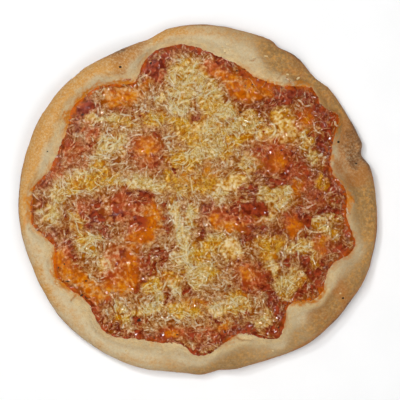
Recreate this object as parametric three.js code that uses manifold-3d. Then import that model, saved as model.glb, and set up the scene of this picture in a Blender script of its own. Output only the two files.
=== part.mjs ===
// A margherita pizza about 300 mm across: a hand-stretched crust with a puffed rim, a thin
// layer of tomato sauce, and a blanket of grated cheese that has half melted together.
// Millimetres, +Z up. The origin is under the middle of the pizza, on the surface it rests on.
// Angles are in degrees, counter-clockwise from +X, seen from above.

import * as THREE from "three";
import Module from "manifold-3d";

const wasm = await Module();
wasm.setup();

// Driving sizes
const rings = 14; // rings of points across the floor of the crust; ring n has 6 n points
const edgePoints = 6 * rings; // points round the rim
const floorThickness = 5; // dough under the sauce
const layerGap = 0.35; // clear space between one layer and the next
const sauceThickness = 1.7; // in the middle of the pizza
const sauceEdgeThickness = 0.9; // where the sauce runs out against the rim
const cheeseThickness = 1.5; // of the melted blanket
const cheeseEdgeThickness = 0.7; // where the blanket thins out
const rimUndercut = 7; // how far the resting face stays inside the widest part of the rim
const strandCount = 90; // grated strands that stand out of the blanket
const strandWidth = 2.1;
const strandDepth = 1.7;
const strandSink = 0.7; // how deep a strand sits in the blanket
const strandLengths = [9, 18]; // shortest and longest

// The outer edge of the rim: [angle, radius] where it swells, pulls in or has a notch
const rimTurns = [
  [0, 148.2], [11, 145.7], [15.5, 141.3], [19, 144.6], [29, 143], [40, 143.7], [46, 141.4],
  [57, 145], [62, 144.1], [66, 147], [75, 145.7], [86, 146.4], [100, 145.2], [108, 140.1],
  [120, 141.7], [144, 148.5], [170, 149.6], [190, 151.3], [203, 149.7], [222, 151.4],
  [247, 149.6], [265, 145.5], [271, 146], [277, 143.8], [283, 145.2], [291, 145.5],
  [310, 151.5], [334, 153.8], [349, 152.3],
];

// The edge of the sauce: lobes where it runs out, and points where the rim comes in between
const sauceTurns = [
  [0, 124], [13, 112.5], [24, 122], [31, 135.5], [37, 128.6], [43, 131.4], [56, 114],
  [65, 112], [72, 115], [83, 120.5], [98, 129.8], [108, 127], [119, 111.2], [132, 125],
  [144, 129], [152, 123.5], [160, 122.3], [168, 124.6], [177, 138], [187, 140], [198, 126.4],
  [208, 133.8], [222, 125.8], [236, 134.4], [247, 125.8], [262, 120.6], [270, 129.6],
  [287, 116.3], [300, 132.4], [311, 114.8], [321, 127.8], [333, 122.2], [343, 135.5],
  [354, 122.8],
];

// The edge of the cheese lies this far inside the edge of the sauce, and further at bare margins
const cheeseMargin = 7;
const bareMargins = [
  { at: 4, more: 3, wide: 8 }, { at: 47, more: 6, wide: 7 }, { at: 103, more: 9, wide: 10 },
  { at: 148, more: 5, wide: 16 }, { at: 192, more: 5, wide: 8 }, { at: 232, more: 5, wide: 12 },
  { at: 256, more: 2, wide: 8 }, { at: 303, more: 14, wide: 8 }, { at: 343, more: 3, wide: 12 },
];

// Dough bubbles that lift the floor: place, height, half widths, and the turn of the long way
const bubbles = [
  { x: -55, y: -34, high: 6.5, long: 34, across: 22, turn: 100 },
  { x: 33, y: 92, high: 6, long: 21, across: 15, turn: -35 },
  { x: -63, y: 86, high: 3.5, long: 15, across: 10, turn: 20 },
  { x: -43, y: 43, high: 4, long: 13, across: 12, turn: 0 },
  { x: 65, y: 35, high: 4, long: 18, across: 14, turn: -20 },
  { x: 23, y: -16, high: 3, long: 24, across: 13, turn: 5 },
  { x: -104, y: -64, high: 3.5, long: 15, across: 10, turn: 125 },
  { x: 48, y: -63, high: 3, long: 13, across: 11, turn: 0 },
  { x: 80, y: -23, high: 2.5, long: 12, across: 10, turn: 40 },
];

// Patches with no cheese, where the sauce shows: place, half widths and turn
const barePatches = [
  { x: -89, y: -12, long: 12, across: 8, turn: 95 },
  { x: -57, y: -13, long: 15, across: 8, turn: 10 },
  { x: 24, y: -15, long: 17, across: 7, turn: 6 },
  { x: 65, y: 36, long: 12, across: 8, turn: -25 },
  { x: 98, y: -9, long: 11, across: 7, turn: -60 },
  { x: 48, y: -62, long: 9, across: 7, turn: 30 },
  { x: -43, y: 44, long: 9, across: 7, turn: 0 },
  { x: -27, y: -82, long: 8, across: 6, turn: 15 },
];
const patchPoints = 12;

// Places where the rim stands higher, or a crease runs across it
const rimSwells = [
  { at: 8, more: 2.5, wide: 9 }, { at: 62, more: 1.6, wide: 12 }, { at: 118, more: 1.5, wide: 10 },
  { at: 150, more: 1.2, wide: 16 }, { at: 252, more: 1, wide: 12 }, { at: 288, more: 1.8, wide: 9 },
  { at: 312, more: 2, wide: 9 }, { at: 330, more: 1.4, wide: 9 }, { at: 15.5, more: -3, wide: 3 },
  { at: 34, more: -2.5, wide: 5 }, { at: 46, more: -1.5, wide: 4 }, { at: 104, more: -1.6, wide: 5 },
  { at: 182, more: -2, wide: 14 }, { at: 277, more: -1.5, wide: 4 }, { at: 357, more: -2, wide: 3 },
];
const rimBaseHeight = 9; // height of a rim with no width
const rimRise = 0.26; // and how much more it stands for each millimetre of width
const widestShare = 0.42; // how far up the rim it is widest
const crownShare = 0.55; // how far across the rim its top lies

const toRadians = Math.PI / 180;

// A number from 0 to 1, the same on each run
let seed = 4217;
function draw() {
  seed = (seed * 16807) % 2147483647;
  return seed / 2147483647;
}

// How far one angle lies from another, the short way round
function turnBetween(a, b) {
  return ((a - b + 540) % 360) - 180;
}

// The sum of soft bumps round the edge, each a bell curve of the angle
function bumpsAt(bumps, angle) {
  let sum = 0;
  for (const bump of bumps) {
    sum += bump.more * Math.exp(-((turnBetween(angle, bump.at) / bump.wide) ** 2));
  }
  return sum;
}

// A closed curve through [angle, radius] pairs: a cubic between each two, level at a turning point
function smoothEdge(turns) {
  const count = turns.length;
  const lap = (i) => Math.floor(i / count);
  const angleOf = (i) => turns[i - count * lap(i)][0] + 360 * lap(i);
  const radiusOf = (i) => turns[i - count * lap(i)][1];
  const rise = (i) => (radiusOf(i + 1) - radiusOf(i)) / (angleOf(i + 1) - angleOf(i));
  const slope = (i) => {
    const product = rise(i - 1) * rise(i);
    return product > 0 ? (2 * product) / (rise(i - 1) + rise(i)) : 0;
  };
  return (angle) => {
    const at = ((angle % 360) + 360) % 360;
    let i = -1;
    while (angleOf(i + 1) <= at) {
      i += 1;
    }
    const span = angleOf(i + 1) - angleOf(i);
    const t = (at - angleOf(i)) / span;
    const blend = t * t * (3 - 2 * t);
    const bend = slope(i) * t * (1 - t) ** 2 - slope(i + 1) * t * t * (1 - t);
    return radiusOf(i) * (1 - blend) + radiusOf(i + 1) * blend + span * bend;
  };
}

const rimRadius = smoothEdge(rimTurns);
const sauceRadius = smoothEdge(sauceTurns);

function cheeseRadius(angle) {
  const ripple = 1.6 * Math.sin(11 * angle * toRadians) + 1.2 * Math.sin(17 * angle * toRadians + 1);
  return sauceRadius(angle) - cheeseMargin - bumpsAt(bareMargins, angle) + ripple;
}

// Where a point lies in an oval's own terms: 0 at its middle and 1 on its edge
function ovalReach(oval, x, y) {
  const turn = oval.turn * toRadians;
  const along = (x - oval.x) * Math.cos(turn) + (y - oval.y) * Math.sin(turn);
  const aside = (y - oval.y) * Math.cos(turn) - (x - oval.x) * Math.sin(turn);
  return Math.hypot(along / oval.long, aside / oval.across);
}

function floorHeight(x, y) {
  let height = floorThickness + 0.45 * Math.sin(x / 19 + 0.6) * Math.cos(y / 23 - 0.4);
  for (const bubble of bubbles) {
    height += bubble.high * Math.exp(-1.3 * ovalReach(bubble, x, y) ** 2);
  }
  return height;
}

// The share of the way from the middle to an edge, made to fall only near that edge
function nearEdge(share) {
  return Math.min(1, Math.max(0, (share - 0.9) / 0.1));
}

function sauceTop(x, y, share) {
  const wave = 0.3 * Math.sin(x / 11 + y / 17) * Math.sin(y / 13 - x / 29);
  const thin = (sauceThickness - sauceEdgeThickness + wave) * nearEdge(share);
  return floorHeight(x, y) + layerGap + sauceThickness + wave - thin;
}

// How far out a point lies, as a share of the way to an edge
function shareOf(edge, x, y) {
  return Math.hypot(x, y) / edge(Math.atan2(y, x) / toRadians);
}

function cheeseBottom(x, y) {
  return sauceTop(x, y, shareOf(sauceRadius, x, y)) + layerGap;
}

function cheeseTop(x, y) {
  const wave = 0.35 * Math.sin(x / 9 + 2) * Math.sin(y / 8 - 1);
  const thin = (cheeseThickness - cheeseEdgeThickness + wave) * nearEdge(shareOf(cheeseRadius, x, y));
  return cheeseBottom(x, y) + cheeseThickness + wave - thin;
}

// The height of the rim's top, from how wide the rim is there
function rimHeight(angle) {
  const width = rimRadius(angle) - sauceRadius(angle);
  const ripple = 0.4 * Math.sin(13 * angle * toRadians) + 0.3 * Math.sin(29 * angle * toRadians + 2);
  return rimBaseHeight + rimRise * width + bumpsAt(rimSwells, angle) + ripple;
}

// A disc of rings. Ring n holds 6 n points, so all its triangles are about one size.
function makeLattice() {
  const places = [{ angle: 0, share: 0 }];
  const triangles = [];
  const first = (ring) => (ring === 0 ? 0 : 1 + 3 * ring * (ring - 1));
  const pointOf = (ring, step) => (ring === 0 ? 0 : first(ring) + (step % (6 * ring)));
  for (let ring = 1; ring <= rings; ring += 1) {
    for (let step = 0; step < 6 * ring; step += 1) {
      places.push({ angle: (60 * step) / ring, share: ring / rings });
    }
    for (let side = 0; side < 6; side += 1) {
      for (let k = 0; k < ring; k += 1) {
        const inner = side * (ring - 1) + k;
        const outer = side * ring + k;
        triangles.push([pointOf(ring - 1, inner), pointOf(ring, outer), pointOf(ring, outer + 1)]);
        if (k < ring - 1) {
          triangles.push([pointOf(ring - 1, inner), pointOf(ring, outer + 1), pointOf(ring - 1, inner + 1)]);
        }
      }
    }
  }
  return { places, triangles, edgeStart: first(rings) };
}

const lattice = makeLattice();

// The lattice laid over the pizza out to the edge of the sauce, at the height that a function gives.
// Every layer uses the same points, so the layers stay parallel; pullIn moves the last ring inwards.
function layLattice(height, pullIn) {
  return lattice.places.map(({ angle, share }) => {
    const radius = share * sauceRadius(angle) - (share === 1 ? pullIn : 0);
    const x = radius * Math.cos(angle * toRadians);
    const y = radius * Math.sin(angle * toRadians);
    return [x, y, height(x, y, share)];
  });
}

// The triangles of a band between two loops of points that start at the given numbers
function bandBetween(loopStart, nextStart) {
  const triangles = [];
  for (let k = 0; k < edgePoints; k += 1) {
    const next = (k + 1) % edgePoints;
    triangles.push([loopStart + k, nextStart + k, nextStart + next]);
    triangles.push([loopStart + k, nextStart + next, loopStart + next]);
  }
  return triangles;
}

function makeGeometry(points, triangles) {
  const geometry = new THREE.BufferGeometry();
  geometry.setAttribute("position", new THREE.Float32BufferAttribute(points.flat(), 3));
  geometry.setIndex(triangles.flat());
  geometry.computeVertexNormals();
  return geometry;
}

// The rim's section at one angle, from the sauce over its top and down to the resting face
function rimSection(angle) {
  const inside = sauceRadius(angle);
  const outside = rimRadius(angle);
  const width = outside - inside;
  const x = inside * Math.cos(angle * toRadians);
  const y = inside * Math.sin(angle * toRadians);
  const low = floorHeight(x, y);
  const top = rimHeight(angle);
  const crown = inside + crownShare * width;
  const widest = widestShare * top;
  const section = [];
  for (const t of [0.16, 0.36, 0.62, 1]) {
    // the inner slope: steep out of the sauce, then level at the top
    section.push([inside + (crown - inside) * t, low + (top - low) * Math.sin((t * Math.PI) / 2)]);
  }
  for (const t of [27, 52, 74, 90]) {
    // the outer shoulder: a quarter of an oval
    section.push([
      crown + (outside - crown) * Math.sin(t * toRadians),
      widest + (top - widest) * Math.cos(t * toRadians),
    ]);
  }
  for (const t of [45, 90]) {
    // and a quarter of a smaller one, tucked under
    section.push([
      outside - rimUndercut * (1 - Math.cos(t * toRadians)),
      widest * (1 - Math.sin(t * toRadians)),
    ]);
  }
  return section;
}

function makeCrust() {
  const points = layLattice(floorHeight, 0);
  const triangles = [...lattice.triangles];
  const sections = Array.from({ length: edgePoints }, (_, k) => rimSection((360 * k) / edgePoints));
  let loopStart = lattice.edgeStart;
  for (let level = 0; level < sections[0].length; level += 1) {
    const nextStart = points.length;
    sections.forEach((section, k) => {
      const [radius, height] = section[level];
      const angle = ((360 * k) / edgePoints) * toRadians;
      points.push([radius * Math.cos(angle), radius * Math.sin(angle), height]);
    });
    triangles.push(...bandBetween(loopStart, nextStart));
    loopStart = nextStart;
  }
  const middle = points.push([0, 0, 0]) - 1;
  for (let k = 0; k < edgePoints; k += 1) {
    triangles.push([loopStart + k, middle, loopStart + ((k + 1) % edgePoints)]);
  }
  return makeGeometry(points, triangles);
}

// A closed layer between two height functions, out to the rim
function makeLayer(bottom, top) {
  const upper = layLattice(top, layerGap);
  const lower = layLattice(bottom, layerGap);
  const turned = lattice.triangles.map(([a, b, c]) => [a + upper.length, c + upper.length, b + upper.length]);
  const wall = bandBetween(lattice.edgeStart, upper.length + lattice.edgeStart);
  return makeGeometry([...upper, ...lower], [...lattice.triangles, ...wall, ...turned]);
}

function makeSauce() {
  return makeLayer((x, y) => floorHeight(x, y) + layerGap, sauceTop);
}

function toManifold(geometry) {
  const vertProperties = new Float32Array(geometry.attributes.position.array);
  const triVerts = new Uint32Array(geometry.index.array);
  return new wasm.Manifold(new wasm.Mesh({ numProp: 3, vertProperties, triVerts }));
}

function toGeometry(solid) {
  const mesh = solid.getMesh();
  const geometry = new THREE.BufferGeometry();
  geometry.setAttribute("position", new THREE.BufferAttribute(mesh.vertProperties, 3));
  geometry.setIndex(new THREE.BufferAttribute(mesh.triVerts, 1));
  geometry.computeVertexNormals();
  return geometry;
}

// The middle of a ring of points
function middleOf(ring) {
  return [0, 1, 2].map((axis) => ring.reduce((sum, point) => sum + point[axis], 0) / ring.length);
}

// A closed tube through stations, each a ring of corners, with its ends closed round their middles
function tubeOf(stations) {
  const corners = stations[0].length;
  const triangles = [];
  for (let s = 0; s < stations.length - 1; s += 1) {
    for (let c = 0; c < corners; c += 1) {
      const next = (c + 1) % corners;
      const here = s * corners;
      triangles.push([here + c, here + next, here + corners + next]);
      triangles.push([here + c, here + corners + next, here + corners + c]);
    }
  }
  const points = stations.flat();
  const last = (stations.length - 1) * corners;
  const firstMiddle = points.push(middleOf(stations[0])) - 1;
  const lastMiddle = points.push(middleOf(stations.at(-1))) - 1;
  for (let c = 0; c < corners; c += 1) {
    const next = (c + 1) % corners;
    triangles.push([firstMiddle, next, c], [lastMiddle, last + c, last + next]);
  }
  return makeGeometry(points, triangles);
}

// A prism from the table up past the top of the pizza, over a loop of [x, y] points
function makeTallPrism(loop) {
  const tall = 2 * (floorThickness + bubbles[0].high + sauceThickness + cheeseThickness);
  return tubeOf([0, tall].map((z) => loop.map(([x, y]) => [x, y, z])));
}

// The prism that trims the blanket to its own edge
function makeCheeseTrim() {
  const loop = [];
  for (let k = 0; k < edgePoints; k += 1) {
    const angle = (360 * k) / edgePoints;
    const radius = cheeseRadius(angle);
    loop.push([radius * Math.cos(angle * toRadians), radius * Math.sin(angle * toRadians)]);
  }
  return makeTallPrism(loop);
}

// One patch with no cheese, as a prism with a wavy outline
function makePatchCutter(patch) {
  const turn = patch.turn * toRadians;
  const ring = [];
  for (let k = 0; k < patchPoints; k += 1) {
    const angle = (2 * Math.PI * k) / patchPoints;
    const reach = 1 + 0.16 * Math.sin(3 * angle + patch.x) + 0.1 * Math.sin(5 * angle + patch.y);
    const along = patch.long * reach * Math.cos(angle);
    const aside = patch.across * reach * Math.sin(angle);
    const x = patch.x + along * Math.cos(turn) - aside * Math.sin(turn);
    const y = patch.y + along * Math.sin(turn) + aside * Math.cos(turn);
    ring.push([x, y]);
  }
  return makeTallPrism(ring);
}

// One grated strand: a flat strip along an arc, with its ends a little up
function makeStrand(x, y, turn, length, bend) {
  const stations = [];
  for (const t of [-0.5, 0, 0.5]) {
    const heading = turn + bend * t;
    const midX = x + length * t * Math.cos(turn + (bend * t) / 2);
    const midY = y + length * t * Math.sin(turn + (bend * t) / 2);
    const half = (strandWidth / 2) * (1 - 1.1 * t * t);
    const lift = 1.2 * t * t;
    const low = cheeseTop(midX, midY) - strandSink + lift;
    const sideX = -Math.sin(heading) * half;
    const sideY = Math.cos(heading) * half;
    stations.push([
      [midX - sideX, midY - sideY, low],
      [midX + sideX, midY + sideY, low],
      [midX + 0.8 * sideX, midY + 0.8 * sideY, low + strandDepth],
      [midX - 0.8 * sideX, midY - 0.8 * sideY, low + strandDepth],
    ]);
  }
  return tubeOf(stations);
}

function isBare(x, y) {
  return barePatches.some((patch) => ovalReach(patch, x, y) < 1.25);
}

function makeCheese() {
  let cheese = toManifold(makeLayer(cheeseBottom, cheeseTop)).intersect(toManifold(makeCheeseTrim()));
  for (const patch of barePatches) {
    cheese = cheese.subtract(toManifold(makePatchCutter(patch)));
  }
  const golden = 137.5; // degrees from one strand to the next, which spreads them evenly
  for (let n = 0; n < strandCount; n += 1) {
    const angle = golden * n + 30 * draw();
    const reach = (0.97 * cheeseRadius(angle) - 4) * Math.sqrt((n + 0.5) / strandCount);
    const x = reach * Math.cos(angle * toRadians);
    const y = reach * Math.sin(angle * toRadians);
    const turn = 2 * Math.PI * draw();
    const length = strandLengths[0] + (strandLengths[1] - strandLengths[0]) * draw();
    const bend = 1.6 * (draw() - 0.5);
    if (!isBare(x, y)) {
      cheese = cheese.add(toManifold(makeStrand(x, y, turn, length, bend)));
    }
  }
  return toGeometry(cheese);
}

function addPiece(group, name, geometry, material) {
  const piece = new THREE.Mesh(geometry, material);
  piece.name = name;
  group.add(piece);
}

const crustMaterial = new THREE.MeshStandardMaterial({ color: 0xd9bd90, roughness: 0.85, metalness: 0 });
const sauceMaterial = new THREE.MeshStandardMaterial({ color: 0x93331c, roughness: 0.35, metalness: 0 });
const cheeseMaterial = new THREE.MeshStandardMaterial({ color: 0xdcb868, roughness: 0.4, metalness: 0 });

const pizza = new THREE.Group();
addPiece(pizza, "crust", makeCrust(), crustMaterial);
addPiece(pizza, "sauce", makeSauce(), sauceMaterial);
addPiece(pizza, "cheese", makeCheese(), cheeseMaterial);

export default pizza;
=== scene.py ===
# Dresses the margherita pizza: a floury baked crust, glossy tomato sauce and half melted grated cheese.
# Shapes are worked out in millimetres, with the origin under the middle of the pizza and +Z up,
# and become metres when a mesh is made. Angles are in degrees, counter-clockwise from +X.

import itertools
import math

import bpy
import numpy as np
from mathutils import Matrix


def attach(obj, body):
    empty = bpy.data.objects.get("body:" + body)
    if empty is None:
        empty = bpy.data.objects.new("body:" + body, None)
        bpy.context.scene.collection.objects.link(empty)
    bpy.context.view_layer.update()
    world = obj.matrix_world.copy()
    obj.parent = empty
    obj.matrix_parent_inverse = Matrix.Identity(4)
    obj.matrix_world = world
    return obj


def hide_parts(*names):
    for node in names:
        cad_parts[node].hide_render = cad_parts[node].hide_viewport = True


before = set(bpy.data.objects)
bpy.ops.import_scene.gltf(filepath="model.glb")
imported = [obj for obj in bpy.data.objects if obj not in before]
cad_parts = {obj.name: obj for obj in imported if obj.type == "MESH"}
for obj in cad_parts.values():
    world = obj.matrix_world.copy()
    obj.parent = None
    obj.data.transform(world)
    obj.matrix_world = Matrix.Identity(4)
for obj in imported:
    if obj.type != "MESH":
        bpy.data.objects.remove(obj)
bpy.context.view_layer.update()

mm = 0.001
dice = np.random.default_rng(4217)


# ---- shared forms: the outlines and heights that all the layers follow ----

rimTurns = [
    (0, 148.2), (11, 145.7), (15.5, 141.3), (19, 144.6), (29, 143), (40, 143.7), (46, 141.4),
    (57, 145), (62, 144.1), (66, 147), (75, 145.7), (86, 146.4), (100, 145.2), (108, 140.1),
    (120, 141.7), (144, 148.5), (170, 149.6), (190, 151.3), (203, 149.7), (222, 151.4),
    (247, 149.6), (265, 145.5), (271, 146), (277, 143.8), (283, 145.2), (291, 145.5),
    (310, 151.5), (334, 153.8), (349, 152.3),
]
sauceTurns = [
    (0, 124), (13, 112.5), (24, 122), (31, 135.5), (37, 128.6), (43, 131.4), (56, 114),
    (65, 112), (72, 115), (83, 120.5), (98, 129.8), (108, 127), (119, 111.2), (132, 125),
    (144, 129), (152, 123.5), (160, 122.3), (168, 124.6), (177, 138), (187, 140), (198, 126.4),
    (208, 133.8), (222, 125.8), (236, 134.4), (247, 125.8), (262, 120.6), (270, 129.6),
    (287, 116.3), (300, 132.4), (311, 114.8), (321, 127.8), (333, 122.2), (343, 135.5),
    (354, 122.8),
]
layers = {
    "floorThickness": 5,
    "layerGap": 0.35,
    "sauceThickness": 1.7,
    "sauceEdgeThickness": 0.9,
    "cheeseMargin": 7,
}
# Margins with less cheese: angle, how much further in, and how wide
bareMargins = [
    (4, 3, 8), (47, 6, 7), (103, 9, 10), (148, 5, 16), (192, 5, 8), (232, 5, 12),
    (256, 2, 8), (303, 14, 8), (343, 3, 12),
]
# Dough bubbles that lift the floor: x, y, half length, half width, turn, height
bubbles = [
    (-55, -34, 34, 22, 100, 6.5), (33, 92, 21, 15, -35, 6), (-63, 86, 15, 10, 20, 3.5),
    (-43, 43, 13, 12, 0, 4), (65, 35, 18, 14, -20, 4), (23, -16, 24, 13, 5, 3),
    (-104, -64, 15, 10, 125, 3.5), (48, -63, 13, 11, 0, 3), (80, -23, 12, 10, 40, 2.5),
]
# Where the rim stands higher, or a crease runs across it: angle, how much higher, and how wide
rimSwells = [
    (8, 2.5, 9), (62, 1.6, 12), (118, 1.5, 10), (150, 1.2, 16), (252, 1, 12), (288, 1.8, 9),
    (312, 2, 9), (330, 1.4, 9), (15.5, -3, 3), (34, -2.5, 5), (46, -1.5, 4), (104, -1.6, 5),
    (182, -2, 14), (277, -1.5, 4), (357, -2, 3),
]
rim = {
    "baseHeight": 9,
    "rise": 0.26,  # more height for each millimetre of width
    "widestShare": 0.42,  # how far up it is widest
    "crownShare": 0.55,  # how far across its top lies
    "undercut": 7,
}


# A closed curve through (angle, radius) pairs: between two of them a cubic with slope 2ab/(a+b) at each
# end, where a and b are the rises on either side, and level where the radius turns back.
def smoothEdge(turns):
    angles, radii = np.array(turns, float).T
    angles = np.append(angles, 360)
    radii = np.append(radii, radii[0])
    after = np.diff(radii) / np.diff(angles)
    before = np.roll(after, 1)
    product = before * after
    slopes = np.where(product > 0, 2 * product / np.where(product > 0, before + after, 1), 0)
    slopes = np.append(slopes, slopes[0])

    def edge(angle):
        at = np.mod(angle, 360)
        i = np.clip(np.searchsorted(angles, at, side="right") - 1, 0, len(after) - 1)
        span = angles[i + 1] - angles[i]
        t = (at - angles[i]) / span
        blend = t * t * (3 - 2 * t)
        bend = slopes[i] * t * (1 - t) ** 2 - slopes[i + 1] * t * t * (1 - t)
        return radii[i] * (1 - blend) + radii[i + 1] * blend + span * bend

    return edge


rimRadius = smoothEdge(rimTurns)
sauceRadius = smoothEdge(sauceTurns)


# From 0 to 1 along the curve 3t^2 - 2t^3
def softStep(t):
    t = np.clip(t, 0, 1)
    return t * t * (3 - 2 * t)


def angleOf(x, y):
    return np.degrees(np.arctan2(y, x))


# A sum of bell curves of the angle: more * exp(-(turn / wide)^2)
def bumpsAt(bumps, angle):
    total = np.zeros_like(angle, float)
    for at, more, wide in bumps:
        turn = np.mod(angle - at + 180, 360) - 180
        total += more * np.exp(-((turn / wide) ** 2))
    return total


# Where a point lies in an oval's own terms: 0 at its middle and 1 on its edge
def ovalReach(oval, x, y):
    ovalX, ovalY, long, across, turn = oval[:5]
    cos = math.cos(math.radians(turn))
    sin = math.sin(math.radians(turn))
    along = (x - ovalX) * cos + (y - ovalY) * sin
    aside = (y - ovalY) * cos - (x - ovalX) * sin
    return np.hypot(along / long, aside / across)


# The edge of the melted cheese: inside the edge of the sauce by a margin, which is wider where the
# margin is bare, with a ripple of two sines
def cheeseRadius(angle):
    ripple = 1.6 * np.sin(np.radians(11 * angle)) + 1.2 * np.sin(np.radians(17 * angle) + 1)
    return sauceRadius(angle) - layers["cheeseMargin"] - bumpsAt(bareMargins, angle) + ripple


# The dough under the sauce: level, with slow waves and a bell curve for each bubble
def floorHeight(x, y):
    height = layers["floorThickness"] + 0.45 * np.sin(x / 19 + 0.6) * np.cos(y / 23 - 0.4)
    for bubble in bubbles:
        height = height + bubble[5] * np.exp(-1.3 * ovalReach(bubble, x, y) ** 2)
    return height


# The top of the sauce: the floor, the sauce's thickness and slow waves, thinner near its edge
def sauceTop(x, y):
    share = np.hypot(x, y) / sauceRadius(angleOf(x, y))
    wave = 0.3 * np.sin(x / 11 + y / 17) * np.sin(y / 13 - x / 29)
    thin = layers["sauceThickness"] - layers["sauceEdgeThickness"] + wave
    thickness = layers["layerGap"] + layers["sauceThickness"] + wave
    return floorHeight(x, y) + thickness - thin * np.clip((share - 0.9) / 0.1, 0, 1)


# The height of the rim's top: more where the rim is wider, with its swells and a ripple of two sines
def rimHeight(angle):
    width = rimRadius(angle) - sauceRadius(angle)
    ripple = 0.4 * np.sin(np.radians(13 * angle)) + 0.3 * np.sin(np.radians(29 * angle) + 2)
    return rim["baseHeight"] + rim["rise"] * width + bumpsAt(rimSwells, angle) + ripple


# Smooth noise from -1 to 1: a random value at each corner of a lattice with the given spacing, blended
# between the corners by 3t^2 - 2t^3 along each axis. Each use has a seed of its own, so no two line up.
def softNoise(places, spacing, seed):
    cells = [np.floor(place / spacing) for place in places]
    blends = [softStep(place / spacing - cell) for place, cell in zip(places, cells)]
    strides = (127.1, 311.7, 74.7)
    total = 0
    for corner in itertools.product((0, 1), repeat=len(places)):
        weight = 1
        mixed = 17.31 * seed
        for cell, blend, stride, step in zip(cells, blends, strides, corner):
            weight = weight * (blend if step else 1 - blend)
            mixed = mixed + (cell + step) * stride
        value = np.sin(mixed) * 43758.5453
        total = total + weight * (value - np.floor(value))
    return 2 * total - 1


# ---- making meshes ----


# A mesh from points in millimetres and triangles, with named values on its points
def makePiece(name, points, triangles, material, values=None, replacing=None):
    mesh = bpy.data.meshes.new(name)
    mesh.vertices.add(len(points))
    mesh.vertices.foreach_set("co", (points * mm).astype(np.float32).ravel())
    mesh.loops.add(triangles.size)
    mesh.loops.foreach_set("vertex_index", triangles.astype(np.int32).ravel())
    mesh.polygons.add(len(triangles))
    mesh.polygons.foreach_set("loop_start", np.arange(0, triangles.size, 3, dtype=np.int32))
    mesh.update(calc_edges=True)
    mesh.validate()
    mesh.shade_smooth()
    for label, numbers in (values or {}).items():
        layer = mesh.attributes.new(label, "FLOAT", "POINT")
        layer.data.foreach_set("value", np.asarray(numbers, np.float32).ravel())
    mesh.materials.append(material)
    piece = bpy.data.objects.new(name, mesh)
    bpy.context.scene.collection.objects.link(piece)
    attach(piece, "root")
    if replacing:
        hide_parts(replacing)


# Two triangles for each cell of a grid of points whose columns run once round
def bandTriangles(rows, columns, start=0):
    row, column = np.meshgrid(np.arange(rows - 1), np.arange(columns), indexing="ij")
    after = (column + 1) % columns
    here = start + row * columns + column
    beside = start + row * columns + after
    first = np.stack([here, here + columns, beside + columns], -1)
    second = np.stack([here, beside + columns, beside], -1)
    return np.concatenate([first.reshape(-1, 3), second.reshape(-1, 3)])


# A fan from one point to the loop of points that starts at the given number
def fanTriangles(middle, loopStart, columns, turned=False):
    column = np.arange(columns)
    after = (column + 1) % columns
    sides = (after, column) if turned else (column, after)
    return np.stack([np.full(columns, middle), loopStart + sides[0], loopStart + sides[1]], -1)


# A disc of rings where ring n holds 6n points, so that all its triangles are about one size.
# It gives each point's angle and its share of the way out, and the triangles.
def discLattice(rings):
    angles = [np.zeros(1)]
    shares = [np.zeros(1)]
    triangles = []
    for ring in range(1, rings + 1):
        step = np.arange(6 * ring)
        angles.append(60.0 * step / ring)
        shares.append(np.full(6 * ring, ring / rings))
        outerStart = 1 + 3 * ring * (ring - 1)
        innerStart = 1 + 3 * (ring - 1) * (ring - 2) if ring > 1 else 0
        innerCount = max(1, 6 * (ring - 1))
        side, k = (a.ravel() for a in np.meshgrid(np.arange(6), np.arange(ring), indexing="ij"))
        inner = innerStart + (side * (ring - 1) + k) % innerCount
        outer = outerStart + side * ring + k
        outerNext = outerStart + (side * ring + k + 1) % (6 * ring)
        triangles.append(np.stack([inner, outer, outerNext], -1))
        innerNext = innerStart + (side * (ring - 1) + k + 1) % innerCount
        beforeSide = k < ring - 1
        triangles.append(np.stack([inner, outerNext, innerNext], -1)[beforeSide])
    return np.concatenate(angles), np.concatenate(shares), np.concatenate(triangles)


# ---- materials ----


def newMaterial(name):
    material = bpy.data.materials.new(name)
    material.use_nodes = True
    tree = material.node_tree
    tree.nodes.clear()
    return material, tree


def addNode(tree, kind, **settings):
    node = tree.nodes.new(kind)
    for key, value in settings.items():
        setattr(node, key, value)
    return node


def connect(tree, source, target):
    if hasattr(source, "is_output"):
        tree.links.new(source, target)
    elif hasattr(target.default_value, "__len__"):
        target.default_value = (*source, 1)[: len(target.default_value)]
    else:
        target.default_value = source


# A colour written as its three shares on screen, turned into light
def screenColour(red, green, blue):
    shares = np.array([red, green, blue]) / 255
    return tuple(np.where(shares > 0.04045, ((shares + 0.055) / 1.055) ** 2.4, shares / 12.92))


def attributeOf(tree, label):
    return addNode(tree, "ShaderNodeAttribute", attribute_name=label).outputs["Fac"]


# Noise on the object's own coordinates, spread so that low to high becomes 0 to 1
def noiseOf(tree, size, low=0.35, high=0.65, detail=3, roughness=0.5, shift=0):
    coordinates = addNode(tree, "ShaderNodeTexCoord")
    mapping = addNode(tree, "ShaderNodeMapping")
    mapping.inputs["Location"].default_value = (shift, 0.7 * shift, 0.3 * shift)
    connect(tree, coordinates.outputs["Object"], mapping.inputs["Vector"])
    noise = addNode(tree, "ShaderNodeTexNoise")
    connect(tree, mapping.outputs["Vector"], noise.inputs["Vector"])
    connect(tree, 1 / (size * mm), noise.inputs["Scale"])
    connect(tree, detail, noise.inputs["Detail"])
    connect(tree, roughness, noise.inputs["Roughness"])
    spread = addNode(tree, "ShaderNodeMapRange", interpolation_type="SMOOTHSTEP")
    connect(tree, noise.outputs["Fac"], spread.inputs["Value"])
    connect(tree, low, spread.inputs["From Min"])
    connect(tree, high, spread.inputs["From Max"])
    return spread.outputs["Result"]


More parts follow.
